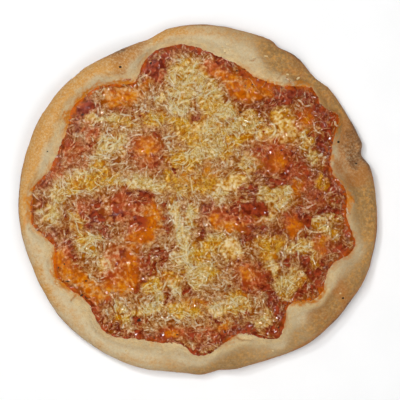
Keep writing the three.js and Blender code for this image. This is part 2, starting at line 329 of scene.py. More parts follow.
def rangeOf(tree, value, low, high, toLow=0.0, toHigh=1.0):
    spread = addNode(tree, "ShaderNodeMapRange", interpolation_type="SMOOTHSTEP")
    connect(tree, value, spread.inputs["Value"])
    connect(tree, low, spread.inputs["From Min"])
    connect(tree, high, spread.inputs["From Max"])
    connect(tree, toLow, spread.inputs["To Min"])
    connect(tree, toHigh, spread.inputs["To Max"])
    return spread.outputs["Result"]


def mathOf(tree, operation, first, second):
    node = addNode(tree, "ShaderNodeMath", operation=operation)
    connect(tree, first, node.inputs[0])
    connect(tree, second, node.inputs[1])
    return node.outputs[0]


def vectorMath(tree, operation, first, second=(0, 0, 0)):
    node = addNode(tree, "ShaderNodeVectorMath", operation=operation)
    connect(tree, first, node.inputs[0])
    connect(tree, second, node.inputs[1])
    return node.outputs["Vector"]


# A random colour for each cell of the given size
def cellsOf(tree, size):
    cells = addNode(tree, "ShaderNodeTexVoronoi")
    connect(tree, addNode(tree, "ShaderNodeTexCoord").outputs["Object"], cells.inputs["Vector"])
    connect(tree, 1 / (size * mm), cells.inputs["Scale"])
    return cells.outputs["Color"]


def mixOf(tree, factor, first, second):
    node = addNode(tree, "ShaderNodeMix", data_type="RGBA")
    connect(tree, factor, node.inputs[0])
    connect(tree, first, node.inputs[6])
    connect(tree, second, node.inputs[7])
    return node.outputs[2]


# The shader, with a bump from one height. Wet food also has a clear coat that glints: in cells of the
# given size its normal leans at random, up + follow * normal + 2 tilt (random - 0.5).
def finishMaterial(tree, colour, roughness, height, depth, facets=None, coat=0.9, **settings):
    shader = addNode(tree, "ShaderNodeBsdfPrincipled")
    connect(tree, colour, shader.inputs["Base Color"])
    connect(tree, roughness, shader.inputs["Roughness"])
    for key, value in settings.items():
        connect(tree, value, shader.inputs[key.replace("_", " ")])
    bump = addNode(tree, "ShaderNodeBump")
    connect(tree, 1.0, bump.inputs["Strength"])
    connect(tree, depth * mm, bump.inputs["Distance"])
    connect(tree, height, bump.inputs["Height"])
    connect(tree, bump.outputs["Normal"], shader.inputs["Normal"])
    if facets:
        size, tilt, follow = facets
        lean = vectorMath(tree, "SUBTRACT", cellsOf(tree, size), (0.5, 0.5, 0.5))
        lean = vectorMath(tree, "MULTIPLY", lean, (2 * tilt, 2 * tilt, 0))
        slope = vectorMath(tree, "MULTIPLY", bump.outputs["Normal"], (follow, follow, follow))
        lean = vectorMath(tree, "ADD", vectorMath(tree, "ADD", lean, slope), (0, 0, 1))
        connect(tree, vectorMath(tree, "NORMALIZE", lean), shader.inputs["Coat Normal"])
        connect(tree, coat, shader.inputs["Coat Weight"])
        connect(tree, 0.05, shader.inputs["Coat Roughness"])
    output = addNode(tree, "ShaderNodeOutputMaterial")
    connect(tree, shader.outputs["BSDF"], output.inputs["Surface"])


# ---- zones of the topping ----

# Ovals where the cheese looks one way: x, y, half length, half width, turn
zones = {
    # sauce shows through: little cheese; a few ovals are painted shade along the big bubble's
    # shaded side and fold, and at the top right
    "bare": [
        (-92, 78, 9, 7, 45), (-98, 71, 6, 5, 60), (-104, 60, 9, 5, 70), (-109, 47, 10, 5, 68),
        (-117, 32, 11, 5, 62), (-128, 17, 10, 5, 48), (-38, 113, 10, 8, 40), (-32, 105, 8, 6, 60),
        (-25, 121, 8, 5, 20), (-5, 126, 14, 4, 0), (10, 122, 9, 4, -30), (22, 114, 10, 4, -38),
        (45, 102, 9, 4, -40), (60, 93, 10, 5, -25), (78, 88, 13, 6, 0), (94, 86, 8, 7, -40),
        (101, 77, 7, 5, -70), (108, 69, 6, 5, 0), (106, 61, 8, 5, -60), (108, 46, 14, 4, 92),
        (100, 44, 6, 5, 90), (110, 22, 10, 4, -60), (117, 10, 9, 5, -50), (63, 40, 9, 6, 0),
        (76, 38, 7, 8, 90), (52, 23, 9, 5, -30), (70, 15, 14, 5, 0), (86, 28, 9, 6, -10),
        (92, 18, 7, 6, 60), (46, 7, 5, 5, 0), (7, -6, 7, 5, 0), (24, -12, 9, 4, -10),
        (40, -7, 12, 5, -5), (53, -10, 5, 7, 0), (46, -24, 10, 6, -10), (40, -32, 5, 5, 0),
        (2, -25, 8, 4, 85), (10, -29, 5, 3, 0), (82, -7, 6, 4, 15), (88, -13, 7, 7, 0),
        (75, -17, 6, 5, -30), (93, -20, 7, 5, 90), (106, -8, 7, 4, 0), (119, -6, 8, 6, 60),
        (125, -30, 9, 3, 90), (121, -44, 7, 4, 15), (115, -36, 7, 5, 60), (88, -50, 7, 5, 0),
        (95, -62, 8, 5, 40), (101, -53, 7, 7, 0), (99, -72, 7, 5, 50), (82, -79, 14, 4, 28),
        (66, -94, 7, 5, 80), (65, -106, 8, 5, 80), (48, -107, 9, 4, -10), (28, -110, 12, 5, 12),
        (8, -119, 11, 5, 30), (-5, -113, 5, 5, 0), (53, -68, 7, 7, 0), (52, -53, 4, 3, -40),
        (62, -84, 9, 5, 80), (-30, -117, 12, 5, -5), (-47, -113, 10, 4, -12), (-70, -107, 12, 4, -15),
        (-84, -94, 12, 3, -58), (-50, -101, 5, 4, -20), (-28, -79, 5, 4, -50), (-26, -85, 4, 4, 0),
        (-8, -77, 6, 3, 0), (-90, -6, 9, 8, 0), (-86, -15, 6, 7, 0), (-90, -23, 6, 4, 20),
        (-79, -28, 6, 7, 60), (-66, -12, 7, 5, -30), (-56, -17, 10, 7, -20), (-46, -21, 6, 6, 0),
        # (-29, -16) on the next line is painted shade on the big bubble's shaded right side
        (-42, -30, 8, 4, -50), (-29, -16, 13, 4, 95), (-35, -44, 8, 4, 10), (-46, -54, 9, 6, 60),
        (-56, -68, 8, 5, 55), (-132, -6, 8, 4, 80), (-121, -28, 8, 6, 75), (-110, -39, 8, 5, -45),
        (-105, -45, 8, 4, -40), (-60, 3, 12, 6, 10), (-44, 2, 8, 6, -20), (-52, 48, 6, 5, 60),
        (-57, 38, 5, 6, 0), (-35, 33, 5, 3, -40), (-35, 53, 4, 3, 0), (-4, 69, 4, 4, 0),
        (-103, 60, 5, 6, 0), (-96, 45, 8, 6, 0), (-88, 58, 6, 5, 0), (-67, 76, 10, 3, -5),
        (-103, 30, 7, 5, 60), (-78, -85, 6, 3, 0), (40, -76, 7, 2, -10), (15, -101, 6, 3, 0),
        (60, 80, 9, 5, -15), (46, 79, 8, 4, 0), (111, -19, 7, 6, 0),
        # (70, 84) on the next line is painted shadow at the top right
        (63, -104, 9, 7, 80), (70, 84, 14, 6, 0), (100, 72, 8, 9, 0), (-94, 75, 9, 8, 45),
        # (-33, -52) and (-48, -68) on the next line are a painted shade line along the bubble's fold
        (57, -71, 5, 5, 0), (-33, -52, 16, 3, 50), (-48, -68, 12, 3, 50), (93, 5, 7, 5, 0),
        (66, -28, 7, 4, 0),
    ],
    # a thin, rosy film where the cheese has slid off a bubble in the dough
    "rosy": [
        (-60, -6, 17, 13, 0), (-50, -28, 14, 9, 10), (-64, -50, 15, 13, 20), (-44, 40, 15, 14, 0),
        (62, 37, 16, 14, 0), (88, 67, 9, 9, 0), (14, 109, 13, 6, -20), (30, -14, 23, 8, 0),
        (44, -65, 13, 12, -30), (81, -16, 10, 9, 0), (82, 20, 17, 9, -45), (-114, -46, 8, 8, 0),
        (-104, 38, 8, 12, 20), (-118, 22, 7, 7, 0), (-91, 56, 6, 8, 0), (-70, -66, 12, 10, 0),
        (104, -38, 8, 8, 0), (-96, -8, 6, 8, 0), (-20, -111, 14, 5, 0), (8, -112, 9, 5, 0),
        (96, 0, 8, 8, 0), (-88, -88, 8, 4, -50), (-35, 104, 5, 7, 0),
    ],
    # smooth, stained with orange oil
    "orange": [
        (-63, 85, 13, 8, 5), (-44, 96, 6, 3, 35), (-43, 43, 9, 9, 60), (20, 104, 8, 4, -25),
        (30, 98, 10, 7, -35), (40, 92, 13, 9, -15), (52, 92, 9, 5, -20), (90, 67, 6, 6, 0),
        (67, 33, 7, 6, -10), (83, 10, 6, 4, 80), (-38, -14, 10, 6, 95), (-38, -24, 9, 6, 80),
        (-48, -33, 10, 7, 20), (-62, -68, 12, 8, 50), (-58, -52, 9, 6, 60), (-70, -74, 9, 6, 20),
        (-117, -50, 9, 6, -60), (-110, -61, 10, 8, -55), (-99, -68, 9, 7, -50), (-88, -76, 13, 6, -25),
        (26, -24, 13, 5, -5), (14, -16, 5, 5, -60), (80, -23, 7, 6, -30), (40, -62, 5, 6, 60),
        (-4, -86, 12, 4, 0), (-22, -112, 5, 4, 0), (103, -38, 5, 6, 0), (22, -105, 7, 3, 20),
        (-26, -66, 7, 3, -20), (10, 24, 6, 4, 30), (-10, 18, 5, 4, 0),
    ],
    # a golden film with amber gaps
    "golden": [
        (-36, 67, 10, 6, 0), (-20, 66, 7, 4, 0), (12, 76, 8, 7, 0), (23, 57, 5, 6, 90),
        (25, 44, 11, 4, 80), (-5, 55, 12, 6, 10), (-12, 32, 13, 9, 0), (-84, 28, 8, 5, -20),
        (-76, 18, 7, 5, 0), (-106, 9, 8, 6, 20), (-2, 48, 6, 5, 0), (5, 14, 12, 8, 10),
        (-15, 12, 8, 8, 0), (-25, 20, 6, 7, 0), (57, -38, 9, 6, -20), (60, -44, 7, 6, 60),
        (-38, -72, 6, 7, 60), (-22, -65, 9, 5, -25), (-12, -93, 14, 5, -5), (33, -80, 8, 4, 0),
        (28, -91, 6, 4, 0), (12, -38, 9, 6, 0), (-65, 64, 12, 4, 0), (-101, -15, 8, 6, 60),
        (-96, -30, 8, 5, -50), (-10, 111, 9, 5, 0), (82, -69, 7, 4, 20), (102, 14, 8, 6, 0),
        (65, 72, 4, 8, 10), (-92, 14, 12, 6, 10), (0, -45, 12, 9, 0), (8, -62, 10, 8, 0),
        (35, 50, 12, 5, 40), (-62, -99, 8, 4, 0), (67, -35, 7, 5, 0), (-10, 64, 13, 6, 10),
    ],
    # thick and pale
    "cream": [
        (-19, 105, 9, 8, 30), (-5, 103, 12, 10, 0), (-14, 90, 13, 7, 0), (-15, 79, 10, 6, 20),
        (8, 60, 11, 7, 0), (12, 45, 10, 9, 60), (-2, 40, 8, 6, 0),
        (-72, 46, 14, 8, 10), (-82, 42, 6, 9, 0), (-76, 66, 10, 4, 0), (-89, 66, 5, 5, 0),
        (-105, 19, 14, 4, 10), (-118, 3, 8, 7, 0), (-124, -12, 7, 8, 60), (-92, -42, 8, 4, -25),
        (-86, -34, 6, 4, 0), (-80, -53, 6, 6, 0), (72, 60, 9, 17, 5), (89, 52, 6, 9, 10),
        (94, 36, 4, 8, 5), (57, 55, 8, 7, 0), (38, 65, 13, 6, 35), (44, 32, 11, 7, 0),
        (27, 15, 15, 6, 25), (18, 6, 9, 6, 30), (60, 3, 10, 6, 0), (74, 4, 7, 6, 0),
        (56, -16, 9, 4, 15), (104, -22, 11, 7, 20), (109, -28, 8, 6, 60), (28, -42, 10, 8, 0),
        (14, -33, 8, 5, 0), (97, -46, 11, 4, -75), (84, -39, 9, 5, 30), (73, -67, 12, 5, 30),
        (73, -77, 9, 5, 25), (62, -56, 8, 3, -80), (0, -63, 9, 11, 0), (-12, -36, 26, 5, 100),
        (-19, -12, 14, 4, 98), (-5, -14, 5, 8, 0), (-15, -52, 8, 6, 0), (-20, -73, 9, 5, -40),
        (-31, -83, 5, 5, 0), (-66, -90, 6, 4, 0), (-42, -93, 12, 6, 10), (-60, 14, 10, 5, 0),
        (-45, 17, 10, 6, 0), (-33, 10, 8, 5, 0), (15, -91, 10, 6, -15), (26, -86, 8, 4, 0),
        (38, -88, 7, 5, 0), (56, -100, 5, 9, -20), (-31, 84, 6, 4, 60), (112, -16, 6, 6, 0),
        (45, 62, 9, 5, 40), (70, -4, 8, 5, 0), (10, 88, 9, 10, 0), (22, 72, 9, 6, 0),
    ],
    # melted right down, with hardly a strand left
    "smooth": [
        (72, 60, 8, 15, 5), (27, 15, 14, 5, 25), (28, -41, 8, 7, 0), (57, 55, 6, 6, 0),
        (-64, 87, 11, 6, 5), (-41, 45, 10, 8, 50), (35, 92, 14, 8, -25),
        (12, 107, 8, 6, 0), (66, 33, 10, 9, 0), (-40, -14, 5, 13, 0), (-52, -35, 9, 6, 20),
        (-68, -56, 10, 12, 0), (-113, -55, 7, 14, 25), (-88, -75, 13, 5, -25), (24, -18, 13, 8, -20),
        (80, -23, 7, 6, 0), (-70, -8, 14, 9, 0), (43, -64, 7, 9, 0), (-38, 112, 7, 8, 0),
        (-108, -58, 15, 9, -55), (-92, -74, 15, 7, -25), (-66, -52, 12, 15, 0), (-46, -24, 9, 14, 0),
        (40, 97, 20, 6, -30), (-95, 74, 8, 6, 45), (48, -10, 12, 5, 0), (-64, 86, 14, 8, 5),
        (-62, -58, 15, 20, 20), (-112, -58, 12, 18, 25), (45, 93, 14, 9, -15),
    ],
}
# How far each zone fades, as a share of its ovals, and how speckled it is
zoneEdges = {
    "bare": (1.2, 0.4), "rosy": (1.2, 0.5), "orange": (1.3, 0.4), "golden": (1.1, 0.7),
    "cream": (0.9, 0.9), "smooth": (0.9, 0.2),
}
zoneGrid = {
    "step": 0.5,  # millimetres from one cell to the next
    "half": 142,
    "warps": [(9, 2.4), (3.4, 2), (1.6, 0.8)],  # how ovals are broken up: spacing and reach
    "speckles": [(3.4, 1), (1.6, 0.7)],  # spacing and strength
}
# How thick the cheese lies, from 0 to about 1: its usual share and what changes it
coverRule = {
    "usual": 0.54,
    "clumps": 0.24,
    "slowWaves": 0.12,
    "towardsLeft": 0.0006,  # for each millimetre
    "cream": 0.26,
    "golden": 0.12,
    "orange": 0.05,
    "bald": 0.34,
    "most": 1.1,
    "edge": (4.6, 4),  # where it starts to thin out past the loose cheese, and over how far
}
gridAxis = np.arange(-zoneGrid["half"], zoneGrid["half"] + zoneGrid["step"], zoneGrid["step"])
gridX, gridY = np.meshgrid(gridAxis, gridAxis)


# How far the loose cheese lies from the middle: past the melted core, nearer the edge of the sauce
def toppingRadius(angle):
    return 0.2 * cheeseRadius(angle) + 0.8 * (sauceRadius(angle) - 1.5)


# The value of a grid at any place, blended between its four nearest cells
def sampleGrid(grid, x, y):
    column = np.clip((x + zoneGrid["half"]) / zoneGrid["step"], 0, len(gridAxis) - 1.001)
    row = np.clip((y + zoneGrid["half"]) / zoneGrid["step"], 0, len(gridAxis) - 1.001)
    left = column.astype(int)
    low = row.astype(int)
    across = column - left
    up = row - low
    lower = grid[low, left] * (1 - across) + grid[low, left + 1] * across
    upper = grid[low + 1, left] * (1 - across) + grid[low + 1, left + 1] * across
    return lower * (1 - up) + upper * up


# Each cell becomes (before + 2 * itself + after) / 4 along both axes, several times over
def soften(grid, times):
    for _ in range(times):
        grid = (np.roll(grid, 1, 0) + 2 * grid + np.roll(grid, -1, 0)) / 4
        grid = (np.roll(grid, 1, 1) + 2 * grid + np.roll(grid, -1, 1)) / 4
    return grid


# How strongly each cell belongs to a zone: 1 inside its ovals, falling to 0 over the given share of them
def zoneStrength(ovals, x, y, fall):
    strength = np.zeros_like(x)
    for oval in ovals:
        reach = ovalReach(oval, x, y)
        strength = np.maximum(strength, softStep((1 + fall / 2 - reach) / fall))
    return strength


# A grid for each zone, with its ovals bent and speckled by noise, and one for how thick the cheese lies
def makeZones():
    warpedX = gridX
    warpedY = gridY
    for n, (spacing, reach) in enumerate(zoneGrid["warps"]):
        warpedX = warpedX + reach * softNoise((gridX, gridY), spacing, 3 + n)
        warpedY = warpedY + reach * softNoise((gridX, gridY), spacing, 13 + n)
    found = {}
    for n, (name, ovals) in enumerate(zones.items()):
        fall, speckled = zoneEdges[name]
        coarse, fine = zoneGrid["speckles"]
        speckle = coarse[1] * softNoise((gridX, gridY), coarse[0], 21 + n)
        speckle = speckle + fine[1] * softNoise((gridX, gridY), fine[0], 27 + n)
        strength = zoneStrength(ovals, warpedX, warpedY, fall)
        found[name] = np.clip(strength + speckled * speckle * strength * (1.3 - strength), 0, 1)
    past = np.hypot(gridX, gridY) - toppingRadius(angleOf(gridX, gridY))
    ragged = 1.6 * softNoise((gridX, gridY), 5, 31) + 1.4 * softNoise((gridX, gridY), 2, 32)
    start, fall = coverRule["edge"]
    inside = softStep((start - past + ragged) / fall)
    clump = 0.6 * softNoise((gridX, gridY), 5.2, 41) + 0.45 * softNoise((gridX, gridY), 2.6, 42)
    cover = coverRule["usual"] + coverRule["clumps"] * clump
    cover = cover + coverRule["slowWaves"] * softNoise((gridX, gridY), 12, 43)
    cover = cover - coverRule["towardsLeft"] * gridX
    for name in ("cream", "golden", "orange"):
        cover = cover + coverRule[name] * found[name]
    # Less cheese where bare, and along the painted shade ovals, so that the dark sauce shows
    bald = found["bare"] * (1 - 0.4 * found["cream"]) * (1 - 0.5 * found["rosy"])
    cover = cover - coverRule["bald"] * bald
    found["cover"] = np.clip(cover, 0, coverRule["most"]) * inside
    return found


print("working out the zones of the topping")
zoneMaps = makeZones()


# ---- crust ----

crust = {
    "columns": 1080,
    "floorRings": 9,  # under the sauce
    "innerRows": 26,  # up the rim's inner slope
    "shoulderRows": 28,  # down its outer side
    "tuckRows": 12,  # tucked under
    "lumps": (22, 0.8),  # spacing and height of the dough's slow lumps
    "swells": (8, 0.3),
    "grain": (1.7, 0.1),
    "blisters": (4.5, 0.4),
    "blisterStart": 0.45,  # noise above this is a blister
}
crustColours = {
    "dough": screenColour(204, 186, 150),
    "tanned": screenColour(206, 148, 72),
    # dusky: darker dough for a darker bake and small pits, and painted shade on the right and lower right
    "dusky": screenColour(146, 110, 62),
    # inner: paler dough near the sauce, lightened further as painted light on the shaded inner slope
    "inner": screenColour(234, 208, 154),
    "toasted": screenColour(170, 108, 48),
    "browned": screenColour(108, 66, 34),
    "scorched": screenColour(76, 48, 32),
    "oil": screenColour(208, 124, 6),
    "flour": screenColour(216, 196, 154),
}
# Where the rim has a warm tan, where it is dusky (partly a darker bake and partly painted shade, mostly
# on the right and lower right) and where it is browned: angle, strength and width
tannedPlaces = [
    (100, 0.6, 8), (118, 0.6, 12), (72, -0.35, 8), (140, 1, 16), (166, 0.85, 14), (182, 0.7, 6),
    (0, 0.6, 9), (345, 0.35, 9), (38, 0.8, 12), (57, 0.9, 10), (75, 0.3, 7), (208, 0.35, 8), (322, 0.2, 7),
]
duskyPlaces = [
    (4, 0.45, 10), (32, 0.8, 10), (48, 0.7, 9), (62, 0.65, 8), (270, 0.4, 9), (284, 0.5, 10),
    (302, 0.4, 9), (322, 0.85, 11), (340, 0.4, 10), (355, 0.4, 8), (78, 0.25, 9), (258, 0.15, 6),
]
# Where the dusky darkening, partly bake and partly painted shade, reaches in towards the sauce, and
# where the pale inner band is broken
duskyInward = [(20, 1, 28)]
paleBreaks = [(18, 0.9, 28), (134, 0.6, 14), (180, 0.8, 10), (342, 0.5, 8)]
brownedPlaces = [
    (10, 0.7, 5), (17, 0.6, 6), (25, 0.55, 5), (38, 0.3, 6), (113, 0.35, 6), (121, 0.25, 5),
    (327, 0.4, 7), (315, 0.2, 5), (52, 0.25, 6),
]
# Where the rim's outer edge is baked darkest: angle, strength and width
scorchedPlaces = [
    (116.5, 0.9, 3), (20, 0.5, 10), (320, 0.5, 12), (345, 0.6, 10), (277, 0.5, 5),
    (60, 0.5, 10), (180, 0.4, 10), (300, 0.3, 10), (90, 0.3, 10),
]
# Where orange oil has run onto the rim: angle, strength and width
oiledPlaces = [
    (14, 0.7, 7), (0, 0.8, 8), (338, 0.7, 8), (60, 0.8, 6), (70, 0.7, 5), (98, 0.4, 7),
    (111, 0.6, 4), (122, 1.1, 5), (134, 1, 9), (147, 1.1, 8), (168, 0.6, 9), (181, 1.2, 8),
    (26, 0.8, 8), (47, 0.9, 7), (192, 0.6, 5), (204, 1, 7), (215, 0.9, 6), (232, 0.2, 8),
    (252, 0.5, 6), (283, 0.8, 4), (315, 1, 7),
    (322, 0.9, 5), (305, 0.4, 4), (350, 0.4, 6),
]
# Creases and cracks in the rim: from, to, depth and half width
creases = [
    (-51, 95, -40.5, 104, 1, 0.9), (124, 5, 131, -3, 1, 0.8), (42, 115, 51, 117.5, 0.9, 0.8),
    (51, 117.5, 60, 117, 0.7, 0.7), (32, -114, 39, -117, 1, 0.9), (39, -117, 45, -116, 0.9, 0.8),
    (66, 99, 73, 108, 0.8, 1), (73, 108, 80, 106, 0.5, 0.9), (114, 73, 117, 62, 0.7, 0.8),
    (-107, -85, -101, -79, 0.8, 1), (-142, -26, -137, -20, 0.7, 1), (80, 98, 88, 104, 0.6, 0.8),
    (100, -104, 106, -97, 0.5, 0.9), (-116, 84, -108, 92, 0.4, 1), (-20, -134, -12, -137, 0.4, 1),
]


# How deep each point lies in a crease: depth * exp(-(distance / half width)^2), thinning at both ends
def creaseDepth(x, y):
    wavyX = x + 0.9 * softNoise((x, y), 3, 76)
    wavyY = y + 0.9 * softNoise((x, y), 3, 77)
    total = np.zeros_like(x)
    for fromX, fromY, toX, toY, depth, wide in creases:
        length = math.hypot(toX - fromX, toY - fromY)
        along = ((wavyX - fromX) * (toX - fromX) + (wavyY - fromY) * (toY - fromY)) / length
        aside = ((wavyY - fromY) * (toX - fromX) - (wavyX - fromX) * (toY - fromY)) / length
        ends = softStep((along + 1.5) / 3) * softStep((length + 1.5 - along) / 3)
        total = np.maximum(total, depth * ends * np.exp(-((aside / wide) ** 2)))
    return total


# What shapes the rim's section at an angle: its inner, outer and crown radius, and the heights of its
# foot, its top and its widest place
def rimMeasures(angle):
    inside = sauceRadius(angle)
    outside = rimRadius(angle)
    top = rimHeight(angle)
    low = floorHeight(inside * np.cos(np.radians(angle)), inside * np.sin(np.radians(angle)))
    crown = inside + rim["crownShare"] * (outside - inside)
    return inside, outside, crown, low, top, rim["widestShare"] * top


# The rim's section, row by row: an inner slope z = low + (top - low) sin(t^1.2 pi/2), an outer quarter of
# an oval, and a smaller quarter tucked under. It gives each row's radius and height.
def rimSections(angle):
    inside, outside, crown, low, top, widest = rimMeasures(angle)
    slope = np.linspace(0, 1, crust["innerRows"] + 1)[:, None]
    shoulder = np.radians(np.linspace(0, 90, crust["shoulderRows"] + 1)[1:, None])
    tuck = np.radians(np.linspace(0, 90, crust["tuckRows"] + 1)[1:, None])
    radius = np.concatenate([
        inside + (crown - inside) * slope,
        crown + (outside - crown) * np.sin(shoulder),
        outside - rim["undercut"] * (1 - np.cos(tuck)),
    ])
    height = np.concatenate([
        low + (top - low) * np.sin(slope**1.2 * np.pi / 2),
        widest + (top - widest) * np.cos(shoulder),
        widest * (1 - np.sin(tuck)),
    ])
    return radius, height


# The normals of a grid whose columns run once round: the cross product of its two directions
def gridNormals(points):
    down = np.gradient(points, axis=0)
    beside = np.roll(points, -1, 1) - np.roll(points, 1, 1)
    normals = np.cross(down, beside)
    return normals / np.maximum(np.linalg.norm(normals, axis=2, keepdims=True), 1e-9)


# The crust's rows from the middle of the floor out, over the rim and under it: points, radius and angle
def crustForm():
    angle = 360 * np.arange(crust["columns"]) / crust["columns"]
    rimR, rimZ = rimSections(angle)
    floorShares = np.linspace(0, 1, crust["floorRings"] + 2)[1:-1, None]
    floorR = floorShares * sauceRadius(angle)
    cos = np.cos(np.radians(angle))
    sin = np.sin(np.radians(angle))
    radius = np.concatenate([floorR, rimR])
    height = np.concatenate([floorHeight(floorR * cos, floorR * sin), rimZ])
    points = np.stack([radius * cos, radius * sin, height], -1)
    return points, radius, np.broadcast_to(angle, radius.shape)


# How far the rim stands out from its smooth form: three sizes of lumps, blisters where noise is high,
# and creases
def crustRelief(places, crease):
    relief = 0
    for n, key in enumerate(("lumps", "swells", "grain")):
        spacing, depth = crust[key]
        relief = relief + depth * softNoise(places, spacing, 51 + n)
    spacing, depth = crust["blisters"]
    start = crust["blisterStart"]
    relief = relief + depth * np.clip(softNoise(places, spacing, 61) - start, 0, 1) / (1 - start)
    return relief - crease


# How the crust is baked, and where shade and light are painted on it, as its material reads it. Each
# strength is a sum of bell curves of the angle, faded by the share of the way across the rim, or by
# "outward", which runs from 0 at its crown to 1.
def bakedValues(places, radius, angles, crease):
    height = places[2]
    share = np.clip((radius - sauceRadius(angles)) / (rimRadius(angles) - sauceRadius(angles)), 0, 1)
    outward = np.concatenate([
        np.zeros(len(radius) - crust["shoulderRows"] - crust["tuckRows"]),
        np.linspace(0, 1, crust["shoulderRows"]),
        np.ones(crust["tuckRows"]),
    ])[:, None] * np.ones_like(radius)
    mottle = softNoise(places, 14, 71)
    tanned = bumpsAt(tannedPlaces, angles) * softStep((share + 0.2 * mottle - 0.1) / 0.5)
    tanned = tanned + 0.35 * softStep((share + 0.15 * mottle - 0.4) / 0.35)
    reach = 0.45 * bumpsAt(duskyInward, angles) - 0.15
    # Dusky: partly a darker bake, partly painted shade on the right and lower right
    dusky = 1.4 * bumpsAt(duskyPlaces, angles) * softStep((share + 0.15 * mottle + reach) / 0.55)
    toastAndCreaseShade = bumpsAt(brownedPlaces, angles) * softStep((share + 0.25 * mottle - 0.1) / 0.4)
    toastAndCreaseShade = toastAndCreaseShade + 0.4 * softStep((outward - 0.5) / 0.5)
    scorch = bumpsAt(scorchedPlaces, angles) * softStep((outward - 0.45 + 0.15 * mottle) / 0.4)
    away = radius - sauceRadius(angles)
    streaky = 2 + 1.6 * softNoise(places, 7, 72) + 1.4 * softNoise(places, 2.6, 73)
    oil = bumpsAt(oiledPlaces, angles) * softStep((1.6 * streaky + 4 - away) / 6)
    oil = oil + 0.35 * softStep((1 + 0.5 * streaky - away) / 1.8)
    return {
        "tanned": tanned,
        "dusky": dusky,
        # Painted shade: the creases are darkened along with the toast and the scorch
        "toastAndCreaseShade": toastAndCreaseShade + 1.1 * scorch + 0.55 * crease,
        "oil": oil,
        # Pale inner band: paler dough, and painted light on the shaded inner slope
        "inner": softStep((0.46 + 0.1 * mottle - share) / 0.3) * (1 - bumpsAt(paleBreaks, angles)),
        "under": 1 - softStep(height / 1.2),
    }


# The crust: its rows, closed by a fan in the middle of the floor and one in the middle of the underside
def makeCrust():
    points, radius, angles = crustForm()
    places = (points[..., 0], points[..., 1], points[..., 2])
    crease = creaseDepth(places[0], places[1])
    onRim = softStep((radius - sauceRadius(angles)) / 5) * softStep(places[2] / 3)
    values = bakedValues(places, radius, angles, crease)
    points = points + gridNormals(points) * (crustRelief(places, crease) * onRim)[..., None]
    points[..., 2] = np.maximum(points[..., 2], 0)
    points[-1, :, 2] = 0
    rows, columns = radius.shape
    middle = rows * columns
    flat = np.concatenate([points.reshape(-1, 3), [[0, 0, floorHeight(0.0, 0.0)]], [[0, 0, 0]]])
    triangles = np.concatenate([
        bandTriangles(rows, columns),
        fanTriangles(middle, 0, columns),
        fanTriangles(middle + 1, (rows - 1) * columns, columns, turned=True),
    ])
    ends = {"inner": (1, 0), "under": (0, 1)}
    values = {key: np.append(numbers.ravel(), ends.get(key, (0, 0))) for key, numbers in values.items()}
    makePiece("bakedCrust", flat, triangles, crustMaterial(), values, "crust")


